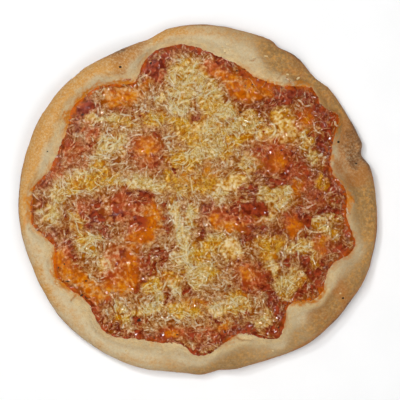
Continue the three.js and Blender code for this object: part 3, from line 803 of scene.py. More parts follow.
def crustMaterial():
    material, tree = newMaterial("bakedDough")
    look = crustColours
    patchy = noiseOf(tree, 11, 0.3, 0.7, detail=4)
    tanned = mathOf(tree, "MULTIPLY", attributeOf(tree, "tanned"), mathOf(tree, "ADD", patchy, 0.5))
    colour = mixOf(tree, rangeOf(tree, tanned, 0, 1), look["dough"], look["tanned"])
    streaks = noiseOf(tree, 6, 0.35, 0.6, detail=3, shift=0.5)
    # The pale inner band is paler dough and partly painted light on the shaded inner slope
    inner = mathOf(tree, "MULTIPLY", attributeOf(tree, "inner"), rangeOf(tree, streaks, 0, 1, 0.5, 1))
    colour = mixOf(tree, inner, colour, look["inner"])
    # Dusky: partly a darker bake, partly painted shade on the right and lower right
    colour = mixOf(tree, rangeOf(tree, attributeOf(tree, "dusky"), 0, 0.9), colour, look["dusky"])
    freckles = mathOf(tree, "MULTIPLY", noiseOf(tree, 3, 0.42, 0.66, detail=5, roughness=0.65, shift=0.2),
                      rangeOf(tree, tanned, 0, 0.8, 0.3, 0.8))
    colour = mixOf(tree, freckles, colour, look["tanned"])
    pores = mathOf(tree, "MULTIPLY", noiseOf(tree, 1.4, 0.48, 0.72, detail=3, shift=0.7),
                   rangeOf(tree, tanned, 0, 0.8, 0.15, 0.5))
    colour = mixOf(tree, pores, colour, look["toasted"])
    cloudy = noiseOf(tree, 16, 0.3, 0.7, shift=0.3)
    # The toast value also carries the painted shade in the creases
    toastAndCreaseShade = mathOf(tree, "MULTIPLY", attributeOf(tree, "toastAndCreaseShade"), mathOf(tree, "ADD", cloudy, 0.6))
    speckle = mathOf(tree, "MULTIPLY", noiseOf(tree, 2.4, 0.35, 0.7, detail=4, shift=0.6), 0.35)
    toastAndCreaseShade = mathOf(tree, "ADD", toastAndCreaseShade, mathOf(tree, "MULTIPLY", speckle, toastAndCreaseShade))
    colour = mixOf(tree, rangeOf(tree, toastAndCreaseShade, 0.05, 0.75, 0, 0.9), colour, look["toasted"])
    colour = mixOf(tree, rangeOf(tree, toastAndCreaseShade, 0.7, 1.5, 0, 0.85), colour, look["browned"])
    pits = mathOf(tree, "MULTIPLY", noiseOf(tree, 1.1, 0.5, 0.7, detail=3, shift=2.1), 0.2)
    colour = mixOf(tree, pits, colour, look["dusky"])
    dusty = noiseOf(tree, 1.8, 0.42, 0.68, detail=5, roughness=0.7, shift=0.9)
    dusty = mathOf(tree, "MULTIPLY", dusty, rangeOf(tree, attributeOf(tree, "dusky"), 0, 0.6, 0.55, 0.2))
    colour = mixOf(tree, dusty, colour, look["flour"])
    oil = mathOf(tree, "MULTIPLY", attributeOf(tree, "oil"), noiseOf(tree, 2.5, 0.2, 0.6, shift=1.2))
    colour = mixOf(tree, rangeOf(tree, oil, 0, 1, 0, 0.95), colour, look["oil"])
    under = attributeOf(tree, "under")
    leopard = noiseOf(tree, 9, 0.45, 0.62, detail=5, shift=1.5)
    colour = mixOf(tree, under, colour, mixOf(tree, leopard, look["toasted"], look["scorched"]))
    roughness = rangeOf(tree, oil, 0.1, 0.8, 0.78, 0.3)
    fine = noiseOf(tree, 0.9, 0.2, 0.8, detail=3)
    grain = mathOf(tree, "ADD", fine, noiseOf(tree, 3, 0.2, 0.8, detail=2))
    finishMaterial(tree, colour, roughness, grain, 0.28, Specular_IOR_Level=0.3)
    return material


print("making the crust")
makeCrust()


# ---- sauce ----

sauce = {
    "rings": 100,
    "spill": 4,  # how far it runs into the foot of the rim
    "pulp": [(5, 0.3), (2.2, 0.22), (1.1, 0.08)],  # spacing and height of the pulp's lumps
}
sauceColours = {
    "deep": screenColour(98, 28, 8),
    "bright": screenColour(156, 60, 26),
    "oily": screenColour(196, 96, 0),
}


# The sauce: a disc whose top has lumps of pulp and dips raggedly at its edge, closed by a fan below
def makeSauce():
    angle, share, triangles = discLattice(sauce["rings"])
    radius = share * (sauceRadius(angle) + sauce["spill"])
    x = radius * np.cos(np.radians(angle))
    y = radius * np.sin(np.radians(angle))
    height = sauceTop(x, y)
    for n, (spacing, depth) in enumerate(sauce["pulp"]):
        height = height + depth * softNoise((x, y), spacing, 81 + n)
    away = sauceRadius(angle) - radius
    ragged = 0.9 * softNoise((x, y), 5, 85) + 0.8 * softNoise((x, y), 2, 86) - 0.3
    height = height + ragged * softStep((3 - away) / 4)
    bottom = floorHeight(x, y) + 0.1
    height = np.where(share == 1, bottom + 0.05, np.maximum(height, bottom + 0.2))
    points = np.stack([x, y, height], -1)
    edge = 6 * sauce["rings"]
    count = len(points)
    points = np.concatenate([points, [[0, 0, floorHeight(0.0, 0.0)]]])
    faces = np.concatenate([triangles, fanTriangles(count, count - edge, edge, turned=True)])
    margin = bumpsAt(oiledPlaces, angle) * softStep((4.5 - away + 1.5 * softNoise((x, y), 4, 87)) / 4)
    oily = np.maximum(1.3 * sampleGrid(zoneMaps["orange"], x, y), 0.7 * margin)
    values = {"oily": np.append(oily, 0)}
    makePiece("tomatoSauce", points, faces, sauceMaterial(), values, "sauce")


def sauceMaterial():
    material, tree = newMaterial("cookedTomato")
    look = sauceColours
    colour = mixOf(tree, noiseOf(tree, 4, 0.35, 0.65, detail=4), look["deep"], look["bright"])
    patchy = rangeOf(tree, noiseOf(tree, 3, 0.3, 0.6, shift=0.4), 0, 1, 0.35, 1)
    colour = mixOf(tree, mathOf(tree, "MULTIPLY", attributeOf(tree, "oily"), patchy), colour, look["oily"])
    roughness = rangeOf(tree, noiseOf(tree, 2, 0.3, 0.7, shift=0.8), 0, 1, 0.06, 0.16)
    pulp = noiseOf(tree, 1.6, 0.2, 0.8, detail=2)
    finishMaterial(tree, colour, roughness, pulp, 0.12, facets=(1.2, 0.75, 0.4), Specular_IOR_Level=0.1)
    return material


print("making the sauce")
makeSauce()


# ---- melted cheese ----

film = {
    "rings": 172,
    "reach": 3,  # how far past the loose cheese it runs, sunk in the sauce
    "edgeGap": 0.4,  # how far inside the edge of the sauce it stays
    "clearance": 0.35,  # from the dough to its underside
    "thinnest": 0.1,
    "sink": 1.0,  # how far under the sauce it lies where there is none
    "lift": 2.3,  # how much it rises from there to where it is thickest
    "ridges": 4400,  # strands that have melted into it
    "ridgeLengths": (4, 12),
    "ridgeWidths": (1.5, 2.9),
    "ridgeHeight": 1.2,
    "ridgeSpread": 1.8,  # how far ridges turn away from their tuft
    "stations": 44,  # along each ridge
    "lanes": 7,  # across each ridge
    "clumps": [(7, 0.4), (3, 0.35)],  # spacing and height
}
grated = {
    "bend": 1.5,  # how far a strand turns from end to end, in radians, half of it either way
    "curl": 0.45,  # the most that it wavers
    "wave": 9,  # how fast it wavers
    "fullTurn": 6.3,
}


# The path of a strand: it heads along turn + bend * t + curl * sin(wave * t + phase), with t from -0.5
# to 0.5, and its points are the running sum of that heading, moved so that their mean is at x, y.
# It gives the points and the heading.
def strandPaths(x, y, turn, length, bend, curl, phase, stations):
    t = np.linspace(-0.5, 0.5, stations)[None, :]
    waver = curl[:, None] * np.sin(grated["wave"] * t + phase[:, None])
    heading = turn[:, None] + bend[:, None] * t + waver
    step = length[:, None] / (stations - 1)
    middle = (heading[:, 1:] + heading[:, :-1]) / 2
    pathX = np.concatenate([np.zeros((len(x), 1)), np.cumsum(step * np.cos(middle), 1)], 1)
    pathY = np.concatenate([np.zeros((len(x), 1)), np.cumsum(step * np.sin(middle), 1)], 1)
    pathX = pathX - pathX.mean(1, keepdims=True) + x[:, None]
    pathY = pathY - pathY.mean(1, keepdims=True) + y[:, None]
    return pathX, pathY, heading


# Random numbers between two limits
def between(limits, count):
    return limits[0] + (limits[1] - limits[0]) * dice.random(count)


# Random places over the cheese, spread evenly
def scatterPlaces(count, spare=0):
    angle = 360 * dice.random(count)
    radius = (toppingRadius(angle) + spare) * np.sqrt(dice.random(count))
    return radius * np.cos(np.radians(angle)), radius * np.sin(np.radians(angle))


# Grated cheese falls in tufts: nearby strands head much the same way, which turns slowly over the pizza
def tuftTurn(x, y, spread):
    tuft = 2.6 * softNoise((x, y), 13, 95) + 1.6 * softNoise((x, y), 6, 96)
    return tuft + spread * (dice.random(len(x)) - 0.5)


# Paths of strands that head as their tuft does, each with a random bend, curl and phase
def gratedPaths(x, y, length, spread, stations):
    count = len(x)
    turn = tuftTurn(x, y, spread)
    bend = grated["bend"] * (dice.random(count) - 0.5)
    curl = grated["curl"] * dice.random(count)
    phase = grated["fullTurn"] * dice.random(count)
    return strandPaths(x, y, turn, length, bend, curl, phase, stations)


# Presses strands into the grid: each is a ridge of height h (1 - 0.85 aside^2) (1 - t^4), with aside and
# t from -1 to 1 across and along it, and where some cross the highest counts.
def stampRidges():
    count = film["ridges"]
    x, y = scatterPlaces(count, 1)
    length = between(film["ridgeLengths"], count)
    width = between(film["ridgeWidths"], count)
    height = film["ridgeHeight"] * (0.35 + 0.65 * dice.random(count))
    pathX, pathY, heading = gratedPaths(x, y, length, film["ridgeSpread"], film["stations"])
    grid = np.zeros_like(gridX)
    ends = 1 - np.abs(np.linspace(-1, 1, film["stations"])) ** 4
    for aside in np.linspace(-1, 1, film["lanes"]):
        placeX = pathX - np.sin(heading) * (aside * width / 2)[:, None]
        placeY = pathY + np.cos(heading) * (aside * width / 2)[:, None]
        column = np.rint((placeX + zoneGrid["half"]) / zoneGrid["step"]).astype(int)
        row = np.rint((placeY + zoneGrid["half"]) / zoneGrid["step"]).astype(int)
        column = np.clip(column, 0, len(gridAxis) - 1)
        row = np.clip(row, 0, len(gridAxis) - 1)
        ridge = (height * (1 - aside * aside * 0.85))[:, None] * ends
        np.maximum.at(grid, (row, column), ridge)
    return soften(grid, 1)


# The top of the melted cheese: the sauce, the cover's lift, the ridges of the strands in it, lower where
# it has melted smooth, and clumps
def makeFilmTop(ridges):
    cover = zoneMaps["cover"]
    smooth = zoneMaps["smooth"]
    height = sauceTop(gridX, gridY) - film["sink"] + film["lift"] * cover
    height = height + ridges * (0.45 + 0.75 * cover) * (1 - 0.75 * smooth)
    for n, (spacing, depth) in enumerate(film["clumps"]):
        height = height + depth * softNoise((gridX, gridY), spacing, 91 + n) * cover
    return height


print("melting the cheese")
ridgeMap = stampRidges()
filmTop = makeFilmTop(ridgeMap)
filmSmooth = soften(filmTop, 6)

# Cheese of each zone: the colour of its gaps, its ridges and its highest strands; the last is paler
# cheese with a painted highlight
cheeseColours = {
    "plain": (screenColour(142, 68, 4), screenColour(194, 142, 82), screenColour(216, 192, 158)),
    "golden": (screenColour(184, 104, 0), screenColour(216, 156, 24), screenColour(232, 200, 130)),
    "cream": (screenColour(184, 118, 6), screenColour(216, 178, 100), screenColour(228, 206, 160)),
    # bare: sauce red under thin cheese, also the colour of the painted shade ovals
    "bare": (screenColour(110, 34, 6), screenColour(176, 96, 58), screenColour(206, 158, 126)),
    "rosy": (screenColour(156, 58, 16), screenColour(194, 100, 50), screenColour(218, 162, 116)),
    "orange": (screenColour(194, 92, 0), screenColour(210, 124, 2), screenColour(216, 150, 52)),
}


# The zones' colours laid over each other by their shares, and then gaps, ridges and crests by "rise";
# the crest colour is paler cheese with a painted highlight
def cheeseMaterial(name, roughLow, roughHigh, depth, specular, facets):
    material, tree = newMaterial(name)
    mottle = noiseOf(tree, 2.2, 0.3, 0.7, detail=3)
    rise = mathOf(tree, "ADD", attributeOf(tree, "rise"), rangeOf(tree, mottle, 0, 1, -0.25, 0.25))
    grains = addNode(tree, "ShaderNodeSeparateColor")
    connect(tree, cellsOf(tree, 1.3), grains.inputs["Color"])
    rise = mathOf(tree, "ADD", rise, mathOf(tree, "MULTIPLY", grains.outputs["Green"], 0.4))
    rise = mathOf(tree, "SUBTRACT", rise, 0.2)
    shares = {}
    for n, zone in enumerate(("golden", "cream", "bare", "rosy", "orange")):
        patchy = rangeOf(tree, noiseOf(tree, 4.5, 0.3, 0.7, shift=1 + n), 0, 1, 0.5, 1.3)
        shares[zone] = mathOf(tree, "MULTIPLY", attributeOf(tree, zone), patchy)
    blended = {}
    for level, side in enumerate(("gap", "ridge", "crest")):
        colour = cheeseColours["plain"][level]
        for zone, share in shares.items():
            colour = mixOf(tree, share, colour, cheeseColours[zone][level])
        blended[side] = colour
    colour = mixOf(tree, rangeOf(tree, rise, 0.05, 0.7), blended["gap"], blended["ridge"])
    # Crests: paler cheese with a painted highlight where rise is highest
    colour = mixOf(tree, rangeOf(tree, rise, 0.65, 1.15), colour, blended["crest"])
    roughness = rangeOf(tree, noiseOf(tree, 1.6, 0.3, 0.7, shift=0.5), 0, 1, roughLow, roughHigh)
    fine = noiseOf(tree, 1.4, 0.25, 0.75, detail=3)
    finishMaterial(
        tree, colour, roughness, fine, depth, facets=facets, Specular_IOR_Level=specular,
        Subsurface_Weight=0.5, Subsurface_Radius=(1, 0.8, 0.6), Subsurface_Scale=1.2 * mm,
    )
    return material


# The zones' shares at any place, as the material reads them; where cover is thin it looks bare too
def zoneValues(x, y):
    thin = softStep((0.5 - sampleGrid(zoneMaps["cover"], x, y)) / 0.4)
    orange = sampleGrid(zoneMaps["orange"], x, y)
    rosy = sampleGrid(zoneMaps["rosy"], x, y)
    bare = sampleGrid(zoneMaps["bare"], x, y) * (1 - 0.6 * sampleGrid(zoneMaps["cream"], x, y))
    return {
        "golden": sampleGrid(zoneMaps["golden"], x, y),
        "cream": sampleGrid(zoneMaps["cream"], x, y),
        "rosy": 0.9 * rosy,
        "orange": 0.95 * orange,
        "bare": np.maximum(0.8 * bare, thin) * (1 - 0.5 * np.maximum(orange, rosy)),
    }


# The cheese is painted darker towards the right: partly browner cheese, partly painted shade where
# less light falls
def rightSideShadeAndBrowning(x):
    return 0.2 * softStep((x + 10) / 90)


# The melted cheese: a disc with the height of the film's grid, closed by a fan below
def makeFilm():
    angle, share, triangles = discLattice(film["rings"])
    edgeRadius = np.minimum(toppingRadius(angle) + film["reach"], sauceRadius(angle) - film["edgeGap"])
    radius = share * edgeRadius
    x = radius * np.cos(np.radians(angle))
    y = radius * np.sin(np.radians(angle))
    lowest = floorHeight(x, y) + film["clearance"] + film["thinnest"]
    height = np.where(share == 1, lowest, np.maximum(sampleGrid(filmTop, x, y), lowest))
    top = np.stack([x, y, height], -1)
    edge = 6 * film["rings"]
    count = len(top)
    middle = [[0, 0, floorHeight(0.0, 0.0) + 0.2]]
    faces = np.concatenate([triangles, fanTriangles(count, count - edge, edge, turned=True)])
    values = zoneValues(x, y)
    # Darker towards the right: partly browner cheese, partly painted shade
    ridge = sampleGrid(ridgeMap, x, y) / film["ridgeHeight"] - rightSideShadeAndBrowning(x)
    cover = np.minimum(sampleGrid(zoneMaps["cover"], x, y), 0.8)
    melted = sampleGrid(zoneMaps["smooth"], x, y)
    # Ridge tops rise into the crest colour, with its painted highlight
    values["rise"] = 1.1 * ridge - 0.05 + 0.5 * (cover - 0.6) + (0.1 + 0.2 * melted) * values["cream"]
    values = {key: np.append(numbers, 0) for key, numbers in values.items()}
    material = cheeseMaterial("meltedCheese", 0.1, 0.2, 0.2, 0.1, (1.2, 0.65, 0.2))
    points = np.concatenate([top, middle])
    makePiece("meltedCheese", points, faces, material, values, "cheese")


makeFilm()


# ---- grated strands ----

strands = {
    "each": 2450,  # in each kind
    "stations": 7,
    "corners": 4,
    "lengths": (4, 14),
    "widths": (0.95, 1.95),
    "flatness": 0.62,  # thickness as a share of width
    "kinds": ["pale", "golden", "stained"],
    "tries": 60000,  # places from which they are chosen
    "pastEdge": 3,  # how far past the loose cheese some lie
    "shortBias": 1.7,  # the higher, the more of them are short
    "spread": 1.9,  # how far they turn away from their tuft
    "sink": 0.3,  # how deep the lowest lie in the melted cheese
    "pile": 0.95,  # how much higher the highest lie
    "endLift": 0.6,
    "roll": 1.6,
    "twist": 0.5,
    "tones": (0.5, 0.72),  # the darkest, and how much lighter the lightest is
}


# Tubes along paths: each station is an oval ring, half wide and half deep across the heading, turned by
# roll; the ends close on a point. Gives the points and triangles of all the tubes together.
def makeTubes(pathX, pathY, pathZ, heading, half, depth, roll, corners):
    count, stations = pathX.shape
    corner = 2 * np.pi * np.arange(corners) / corners
    aside = half[..., None] * np.cos(corner)
    up = depth[..., None] * np.sin(corner)
    turn = roll[..., None]
    sideways = aside * np.cos(turn) - up * np.sin(turn)
    upwards = aside * np.sin(turn) + up * np.cos(turn)
    x = pathX[..., None] - np.sin(heading)[..., None] * sideways
    y = pathY[..., None] + np.cos(heading)[..., None] * sideways
    z = pathZ[..., None] + upwards
    rings = np.stack([x, y, z], -1).reshape(count, stations * corners, 3)
    tips = np.stack([pathX[:, [0, -1]], pathY[:, [0, -1]], pathZ[:, [0, -1]]], -1)
    points = np.concatenate([rings, tips], 1)
    last = (stations - 1) * corners
    one = np.concatenate([
        bandTriangles(stations, corners)[:, ::-1],
        fanTriangles(stations * corners, 0, corners),
        fanTriangles(stations * corners + 1, last, corners, turned=True),
    ])[:, ::-1]
    perTube = stations * corners + 2
    triangles = one[None] + (perTube * np.arange(count))[:, None, None]
    return points.reshape(-1, 3), triangles.reshape(-1, 3)


# Which kind of strand lies at each place: pale where it is thick, stained where it is thin or oily
def chooseKinds(x, y):
    value = zoneValues(x, y)
    cover = sampleGrid(zoneMaps["cover"], x, y)
    pale = 0.35 + 1.1 * value["cream"] - 0.6 * value["golden"] - 0.5 * value["bare"] - 0.6 * value["orange"]
    golden = 0.4 + 0.9 * value["golden"] - 0.4 * value["bare"] - 0.2 * value["orange"]
    stained = 0.12 + 0.9 * value["bare"] + 0.8 * np.maximum(value["orange"], value["rosy"])
    scores = np.stack([pale, golden, stained]) + 0.7 * dice.random((3, len(x)))
    density = 0.3 + 0.6 * softStep((cover - 0.2) / 0.8)
    density = density * (1 - 0.92 * sampleGrid(zoneMaps["smooth"], x, y)) * (1 - 0.45 * value["rosy"])
    return np.argmax(scores, 0), density


def makeStrands():
    x, y = scatterPlaces(strands["tries"], strands["pastEdge"])
    kind, density = chooseKinds(x, y)
    kept = dice.random(len(x)) < density
    for n, name in enumerate(strands["kinds"]):
        chosen = np.flatnonzero(kept & (kind == n))[: 2 * strands["each"]]
        makeStrandPiece(name, x[chosen], y[chosen])


# The loose strands of one kind: tubes that taper to their ends as 1 - 0.45 t^4, lie on the melted cheese
# and the sauce, pile up where the cover is thick and stay out of what has melted smooth
def makeStrandPiece(name, x, y):
    count = len(x)
    stations = strands["stations"]
    shortest = strands["lengths"][0]
    length = shortest + np.ptp(strands["lengths"]) * dice.random(count) ** strands["shortBias"]
    pathX, pathY, heading = gratedPaths(x, y, length, strands["spread"], stations)
    melted = sampleGrid(zoneMaps["smooth"], pathX, pathY).max(1)
    kept = np.flatnonzero(melted < 0.25 + 0.8 * dice.random(count) ** 2)[: strands["each"]]
    pathX, pathY, heading = pathX[kept], pathY[kept], heading[kept]
    count = len(kept)
    print("  ", name, count)
    width = between(strands["widths"], count)
    t = np.linspace(-1, 1, stations)[None, :]
    uneven = 1 + 0.25 * (dice.random(pathX.shape) - 0.5)
    half = width[:, None] / 2 * (1 - 0.45 * np.abs(t) ** 4) * uneven
    cover = sampleGrid(zoneMaps["cover"], pathX, pathY)
    level = np.maximum(sampleGrid(filmSmooth, pathX, pathY), sauceTop(pathX, pathY))
    pile = dice.random(count)[:, None] ** 1.8
    lift = strands["pile"] * pile * np.clip(cover, 0.1, 1) - strands["sink"]
    endLift = (dice.random(count)[:, None] - 0.7) * strands["endLift"] * t * t
    roll = (dice.random(count)[:, None] - 0.5) * strands["roll"]
    roll = roll + strands["twist"] * t * (dice.random(count)[:, None] - 0.5)
    points, triangles = makeTubes(
        pathX, pathY, level + lift + endLift, heading, half, half * strands["flatness"], roll,
        strands["corners"],
    )
    values = zoneValues(points[:, 0], points[:, 1])
    darkest, lighter = strands["tones"]
    # Darker towards the right: partly browner cheese, partly painted shade
    tone = np.repeat(darkest + lighter * dice.random(count), len(points) // count) - rightSideShadeAndBrowning(points[:, 0])
    above = points[:, 2] - sampleGrid(filmSmooth, points[:, 0], points[:, 1])
    cover = np.minimum(sampleGrid(zoneMaps["cover"], points[:, 0], points[:, 1]), 0.8)
    # The highest parts of each strand rise into the crest colour, a painted highlight on its top
    rise = tone * (0.25 + 0.75 * softStep((above + 0.2) / 0.9)) + 0.4 * (cover - 0.6)
    values["rise"] = rise + 0.05 * values["cream"]
    material = cheeseMaterial(name + "Cheese", 0.08, 0.2, 0.05, 0.5, (1.3, 0.5, 0.3))
    makePiece(name + "Strands", points, triangles, material, values)


print("grating the cheese")
makeStrands()


# ---- single shreds, flecks and crumbs ----

# Shreds that lie clear on top: x, y, length, width, turn, bend (all round is 360) and kind
shreds = [
    (-80, -53, 27, 1.9, 0, 310, "pale"), (57, 55, 36, 2, 30, 270, "pale"),
    (100, -22, 42, 1.8, 60, 300, "stained"), (-88, 67, 20, 1.7, 90, 250, "pale"),
    (55, -17, 15, 2.2, 10, -50, "pale"), (-12, -28, 28, 2.4, -80, 12, "pale"),
    (-10, -44, 16, 2.1, -84, -20, "pale"), (-19, -15, 20, 2, -82, 8, "golden"),
    (62, -56, 13, 1.9, -78, 20, "pale"), (-27, -40, 9, 1.6, -70, 40, "pale"),
    (86, -63, 6, 3, 30, 20, "pale"), (75, -84, 6, 2.6, -20, 10, "golden"),
    (-43, -86, 7, 2.8, 40, 20, "pale"), (-53, 14, 6, 3.6, -60, 10, "pale"),
    (-40, 15, 5, 2.8, 20, 10, "pale"), (105, 33, 7, 2.6, 70, 30, "stained"),
    (102, 37, 5, 2.4, 40, 20, "pale"), (115, 63, 6, 1.9, -60, 40, "pale"),
    (58, -101, 12, 3, -50, 50, "golden"), (50, -103, 6, 3.4, 20, 10, "pale"),
    (76, 99, 9, 1.6, -40, 80, "golden"), (125, -10, 7, 1.6, -60, 60, "golden"),
    (-2, 33, 12, 1.7, 40, 30, "golden"), (12, 22, 14, 1.7, 30, -25, "pale"),
    (20, 33, 12, 1.6, -60, 30, "pale"), (-8, 62, 11, 1.6, 15, 30, "pale"),
    (30, 47, 13, 1.6, 48, 20, "pale"), (36, 55, 11, 1.5, 50, -20, "golden"),
    (-30, 84, 10, 1.7, -30, 40, "pale"), (-60, 62, 12, 1.6, 20, 40, "stained"),
    (-72, 33, 11, 1.7, 35, -40, "pale"), (-98, 22, 12, 1.6, 10, 30, "pale"),
    (-30, 0, 11, 1.7, 60, 30, "pale"), (14, -50, 14, 1.8, -55, 40, "pale"),
    (24, -62, 12, 1.7, -40, -40, "pale"), (2, -70, 12, 1.6, 60, 40, "pale"),
    (36, -44, 11, 1.6, 20, 40, "pale"), (70, -50, 12, 1.6, 80, 40, "stained"),
    (84, -30, 14, 1.5, 70, -60, "stained"), (92, -6, 13, 1.5, 20, 60, "stained"),
    (98, 60, 15, 1.5, -60, 50, "stained"), (88, 80, 13, 1.5, -30, 60, "stained"),
    (-44, 104, 12, 1.5, 30, 40, "stained"), (-104, 50, 13, 1.5, 70, 50, "stained"),
    (-60, 100, 8, 1.4, 5, 40, "stained"), (-20, 117, 10, 1.5, -20, 50, "stained"),
    (0, -105, 12, 1.5, 15, 50, "pale"), (-30, -100, 12, 1.6, -10, 50, "pale"),
    (-62, -84, 12, 1.6, -30, 40, "pale"), (-20, -90, 10, 1.7, 35, 30, "pale"),
]
# Dark flecks of herb and char: x, y, length, width and turn
flecks = [
    (-97, 71, 2.6, 1.6, 20), (-40, 114, 2.2, 1.6, 60), (-65, 110, 2.2, 1.8, 0), (32, 107.5, 1.8, 1.2, 0),
    (40, 100, 1.4, 1, 0), (39, 95, 1.4, 1, 0), (45, 96, 1.4, 1, 0), (30, 72, 3, 1.3, 50),
    (35, 73, 2.4, 1.2, -10), (69, 41, 1.8, 1.2, 0), (117, 48, 2.6, 2, 0), (109, 42, 1.4, 1.1, 0),
    (-10, 11, 1.8, 1.2, 30), (88, -12, 1.6, 1.2, 0), (48, -81, 1.8, 1.2, 0), (40, -109, 1.6, 1.2, 0),
    (22, -111, 1.8, 1.2, 0), (-18, -113, 1.8, 1.2, 0), (-94, -68, 1.8, 1.3, 0),
    (-109, -68.5, 5, 1, -12), (-97.5, -80, 3.6, 1.4, 30), (-94, -82, 3, 1.3, -30),
    (-112, -54, 1.6, 1.2, 0), (-80, -32, 1.6, 1.2, 0), (67, -107, 2, 1.3, 40), (120, -82, 2.2, 1.8, 0),
    (-37, -116, 1.8, 1.2, 0), (-117, -57, 1.8, 1.3, 50), (-50, -101, 3.4, 2.4, 20),
    (-126, 40, 1.4, 1.2, 0), (131, 30, 1.6, 1.2, 0),
]
# Lumps of flour and crumbs on the rim: x, y, length, width and turn
crumbs = [
    (22, 124, 4, 2.6, 60), (24, 129, 2.8, 2, 20), (20, 127, 2, 1.5, 0), (26, 125, 1.8, 1.4, 0),
    (46, 118, 3, 1.2, 10), (56, 119, 3.6, 1.2, -5), (-40, 130, 4, 2, 30), (-35, 131, 3, 1.6, 50),
    (74, 104, 2.4, 1.8, 0), (83, 101, 3.4, 1.8, 40), (-118, -70, 2.4, 1.6, 0), (-60, -126, 2, 1.5, 0),
    (62, -126, 2.2, 1.5, 0), (118, -78, 2, 1.4, 0), (-128, 52, 1.8, 1.3, 0), (8, 139, 1.8, 1.3, 0),
]


shredForm = {
    "stations": 18,
    "corners": 8,
    "flatness": 0.6,
    "deepest": 0.7,  # half the thickness of the thickest
    "lift": 0.55,  # from the surface to their middle
    "waver": 0.15,  # how much that varies along them
}


# The height of what lies on top: cheese or sauce inside, and the rim's section outside
def surfaceHeight(x, y):
    radius = np.hypot(x, y)
    inside, outside, crown, low, top, widest = rimMeasures(angleOf(x, y))
    slope = np.clip((radius - inside) / (crown - inside), 0, 1)
    inner = low + (top - low) * np.sin(slope**1.2 * np.pi / 2)
    past = np.clip((radius - crown) / (outside - crown), 0, 1)
    outer = widest + (top - widest) * np.sqrt(1 - past * past)
    topping = np.maximum(sampleGrid(filmSmooth, x, y), sauceTop(x, y))
    return np.where(radius < inside, topping, np.where(radius < crown, inner, outer))


# Single shreds of one kind: tubes that turn by their bend, waver a little and thin as 1 - 0.5 t^6
def makeShreds(kind):
    numbers = [shred[:6] for shred in shreds if shred[6] == kind]
    x, y, length, width, turn, bend = np.array(numbers, float).T
    count = len(x)
    stations = shredForm["stations"]
    curl = 0.25 + 0.2 * dice.random(count)
    phase = grated["fullTurn"] * dice.random(count)
    pathX, pathY, heading = strandPaths(
        x, y, np.radians(turn), length, np.radians(bend), curl, phase, stations
    )
    t = np.linspace(-1, 1, stations)[None, :]
    uneven = 1 + 0.3 * (dice.random(pathX.shape) - 0.5)
    half = width[:, None] / 2 * (1 - 0.5 * np.abs(t) ** 6) * uneven
    depth = np.minimum(half * shredForm["flatness"], shredForm["deepest"])
    lift = shredForm["lift"] + shredForm["waver"] * np.sin(5 * t + x[:, None])
    roll = 0.5 * np.sin(3 * t + y[:, None])
    points, triangles = makeTubes(
        pathX, pathY, surfaceHeight(pathX, pathY) + lift, heading, half, depth, roll,
        shredForm["corners"],
    )
    values = zoneValues(points[:, 0], points[:, 1])
    values["bare"] = values["bare"] * (0.8 if kind == "stained" else 0.15)
    values["orange"] = values["orange"] * (0.5 if kind == "stained" else 0.1)
    # Shreds take ridge to crest colours, with the crest's painted highlight
    values["rise"] = between((0.75, 1), len(points))
    material = cheeseMaterial(kind + "ShredCheese", 0.08, 0.2, 0.06, 0.5, (1.3, 0.5, 0.3))
    makePiece(kind + "Shreds", points, triangles, material, values)


# Small lumps: squashed balls of 12 by 7 points and two tips, each point pushed in or out at random, which
# lie a quarter of their height above the surface. "height" is half of it, as a share of their width.
def makeLumps(name, lumps, height, material):
    x, y, length, width, turn = np.array(lumps, float).T[..., None, None]
    around = 12
    levels = 7
    cos = np.cos(np.radians(turn))
    sin = np.sin(np.radians(turn))
    theta = 2 * np.pi * np.arange(around) / around
    phi = np.pi * (np.arange(levels) + 0.5) / levels
    ballX = np.sin(phi)[:, None] * np.cos(theta)
    ballY = np.sin(phi)[:, None] * np.sin(theta)
    ballZ = np.cos(phi)[:, None] * np.ones(around)
    push = 1 + 0.35 * (dice.random((len(lumps), levels, around)) - 0.5)
    along = ballX * push * length / 2
    aside = ballY * push * width / 2
    tall = height * width
    rings = np.stack([
        x + along * cos - aside * sin,
        y + along * sin + aside * cos,
        surfaceHeight(x, y) + 0.25 * tall + ballZ * tall * push,
    ], -1).reshape(len(lumps), levels * around, 3)
    tips = np.stack([rings[:, :around].mean(1), rings[:, -around:].mean(1)], 1)
    points = np.concatenate([rings, tips], 1)
    one = np.concatenate([
        bandTriangles(levels, around),
        fanTriangles(levels * around, 0, around),
        fanTriangles(levels * around + 1, (levels - 1) * around, around, turned=True),
    ])
    triangles = one[None] + (points.shape[1] * np.arange(len(lumps)))[:, None, None]
    makePiece(name, points.reshape(-1, 3), triangles.reshape(-1, 3), material)


def dryMaterial(name, light, dark, roughness):
    material, tree = newMaterial(name)
    colour = mixOf(tree, noiseOf(tree, 1.2, 0.3, 0.7), light, dark)
    rough = rangeOf(tree, noiseOf(tree, 0.8), 0, 1, roughness, roughness + 0.15)
    finishMaterial(tree, colour, rough, noiseOf(tree, 0.6, 0.2, 0.8), 0.06, Specular_IOR_Level=0.3)
    return material


print("laying single shreds, flecks and crumbs")
for shredKind in strands["kinds"]:
    makeShreds(shredKind)
charred = dryMaterial("charredHerb", screenColour(64, 40, 20), screenColour(30, 20, 14), 0.55)
makeLumps("charFlecks", flecks, 0.25, charred)
floury = dryMaterial("flouryCrumb", screenColour(222, 204, 160), screenColour(196, 160, 106), 0.8)
makeLumps("doughCrumbs", crumbs, 0.3, floury)


# ---- floor, light and camera ----

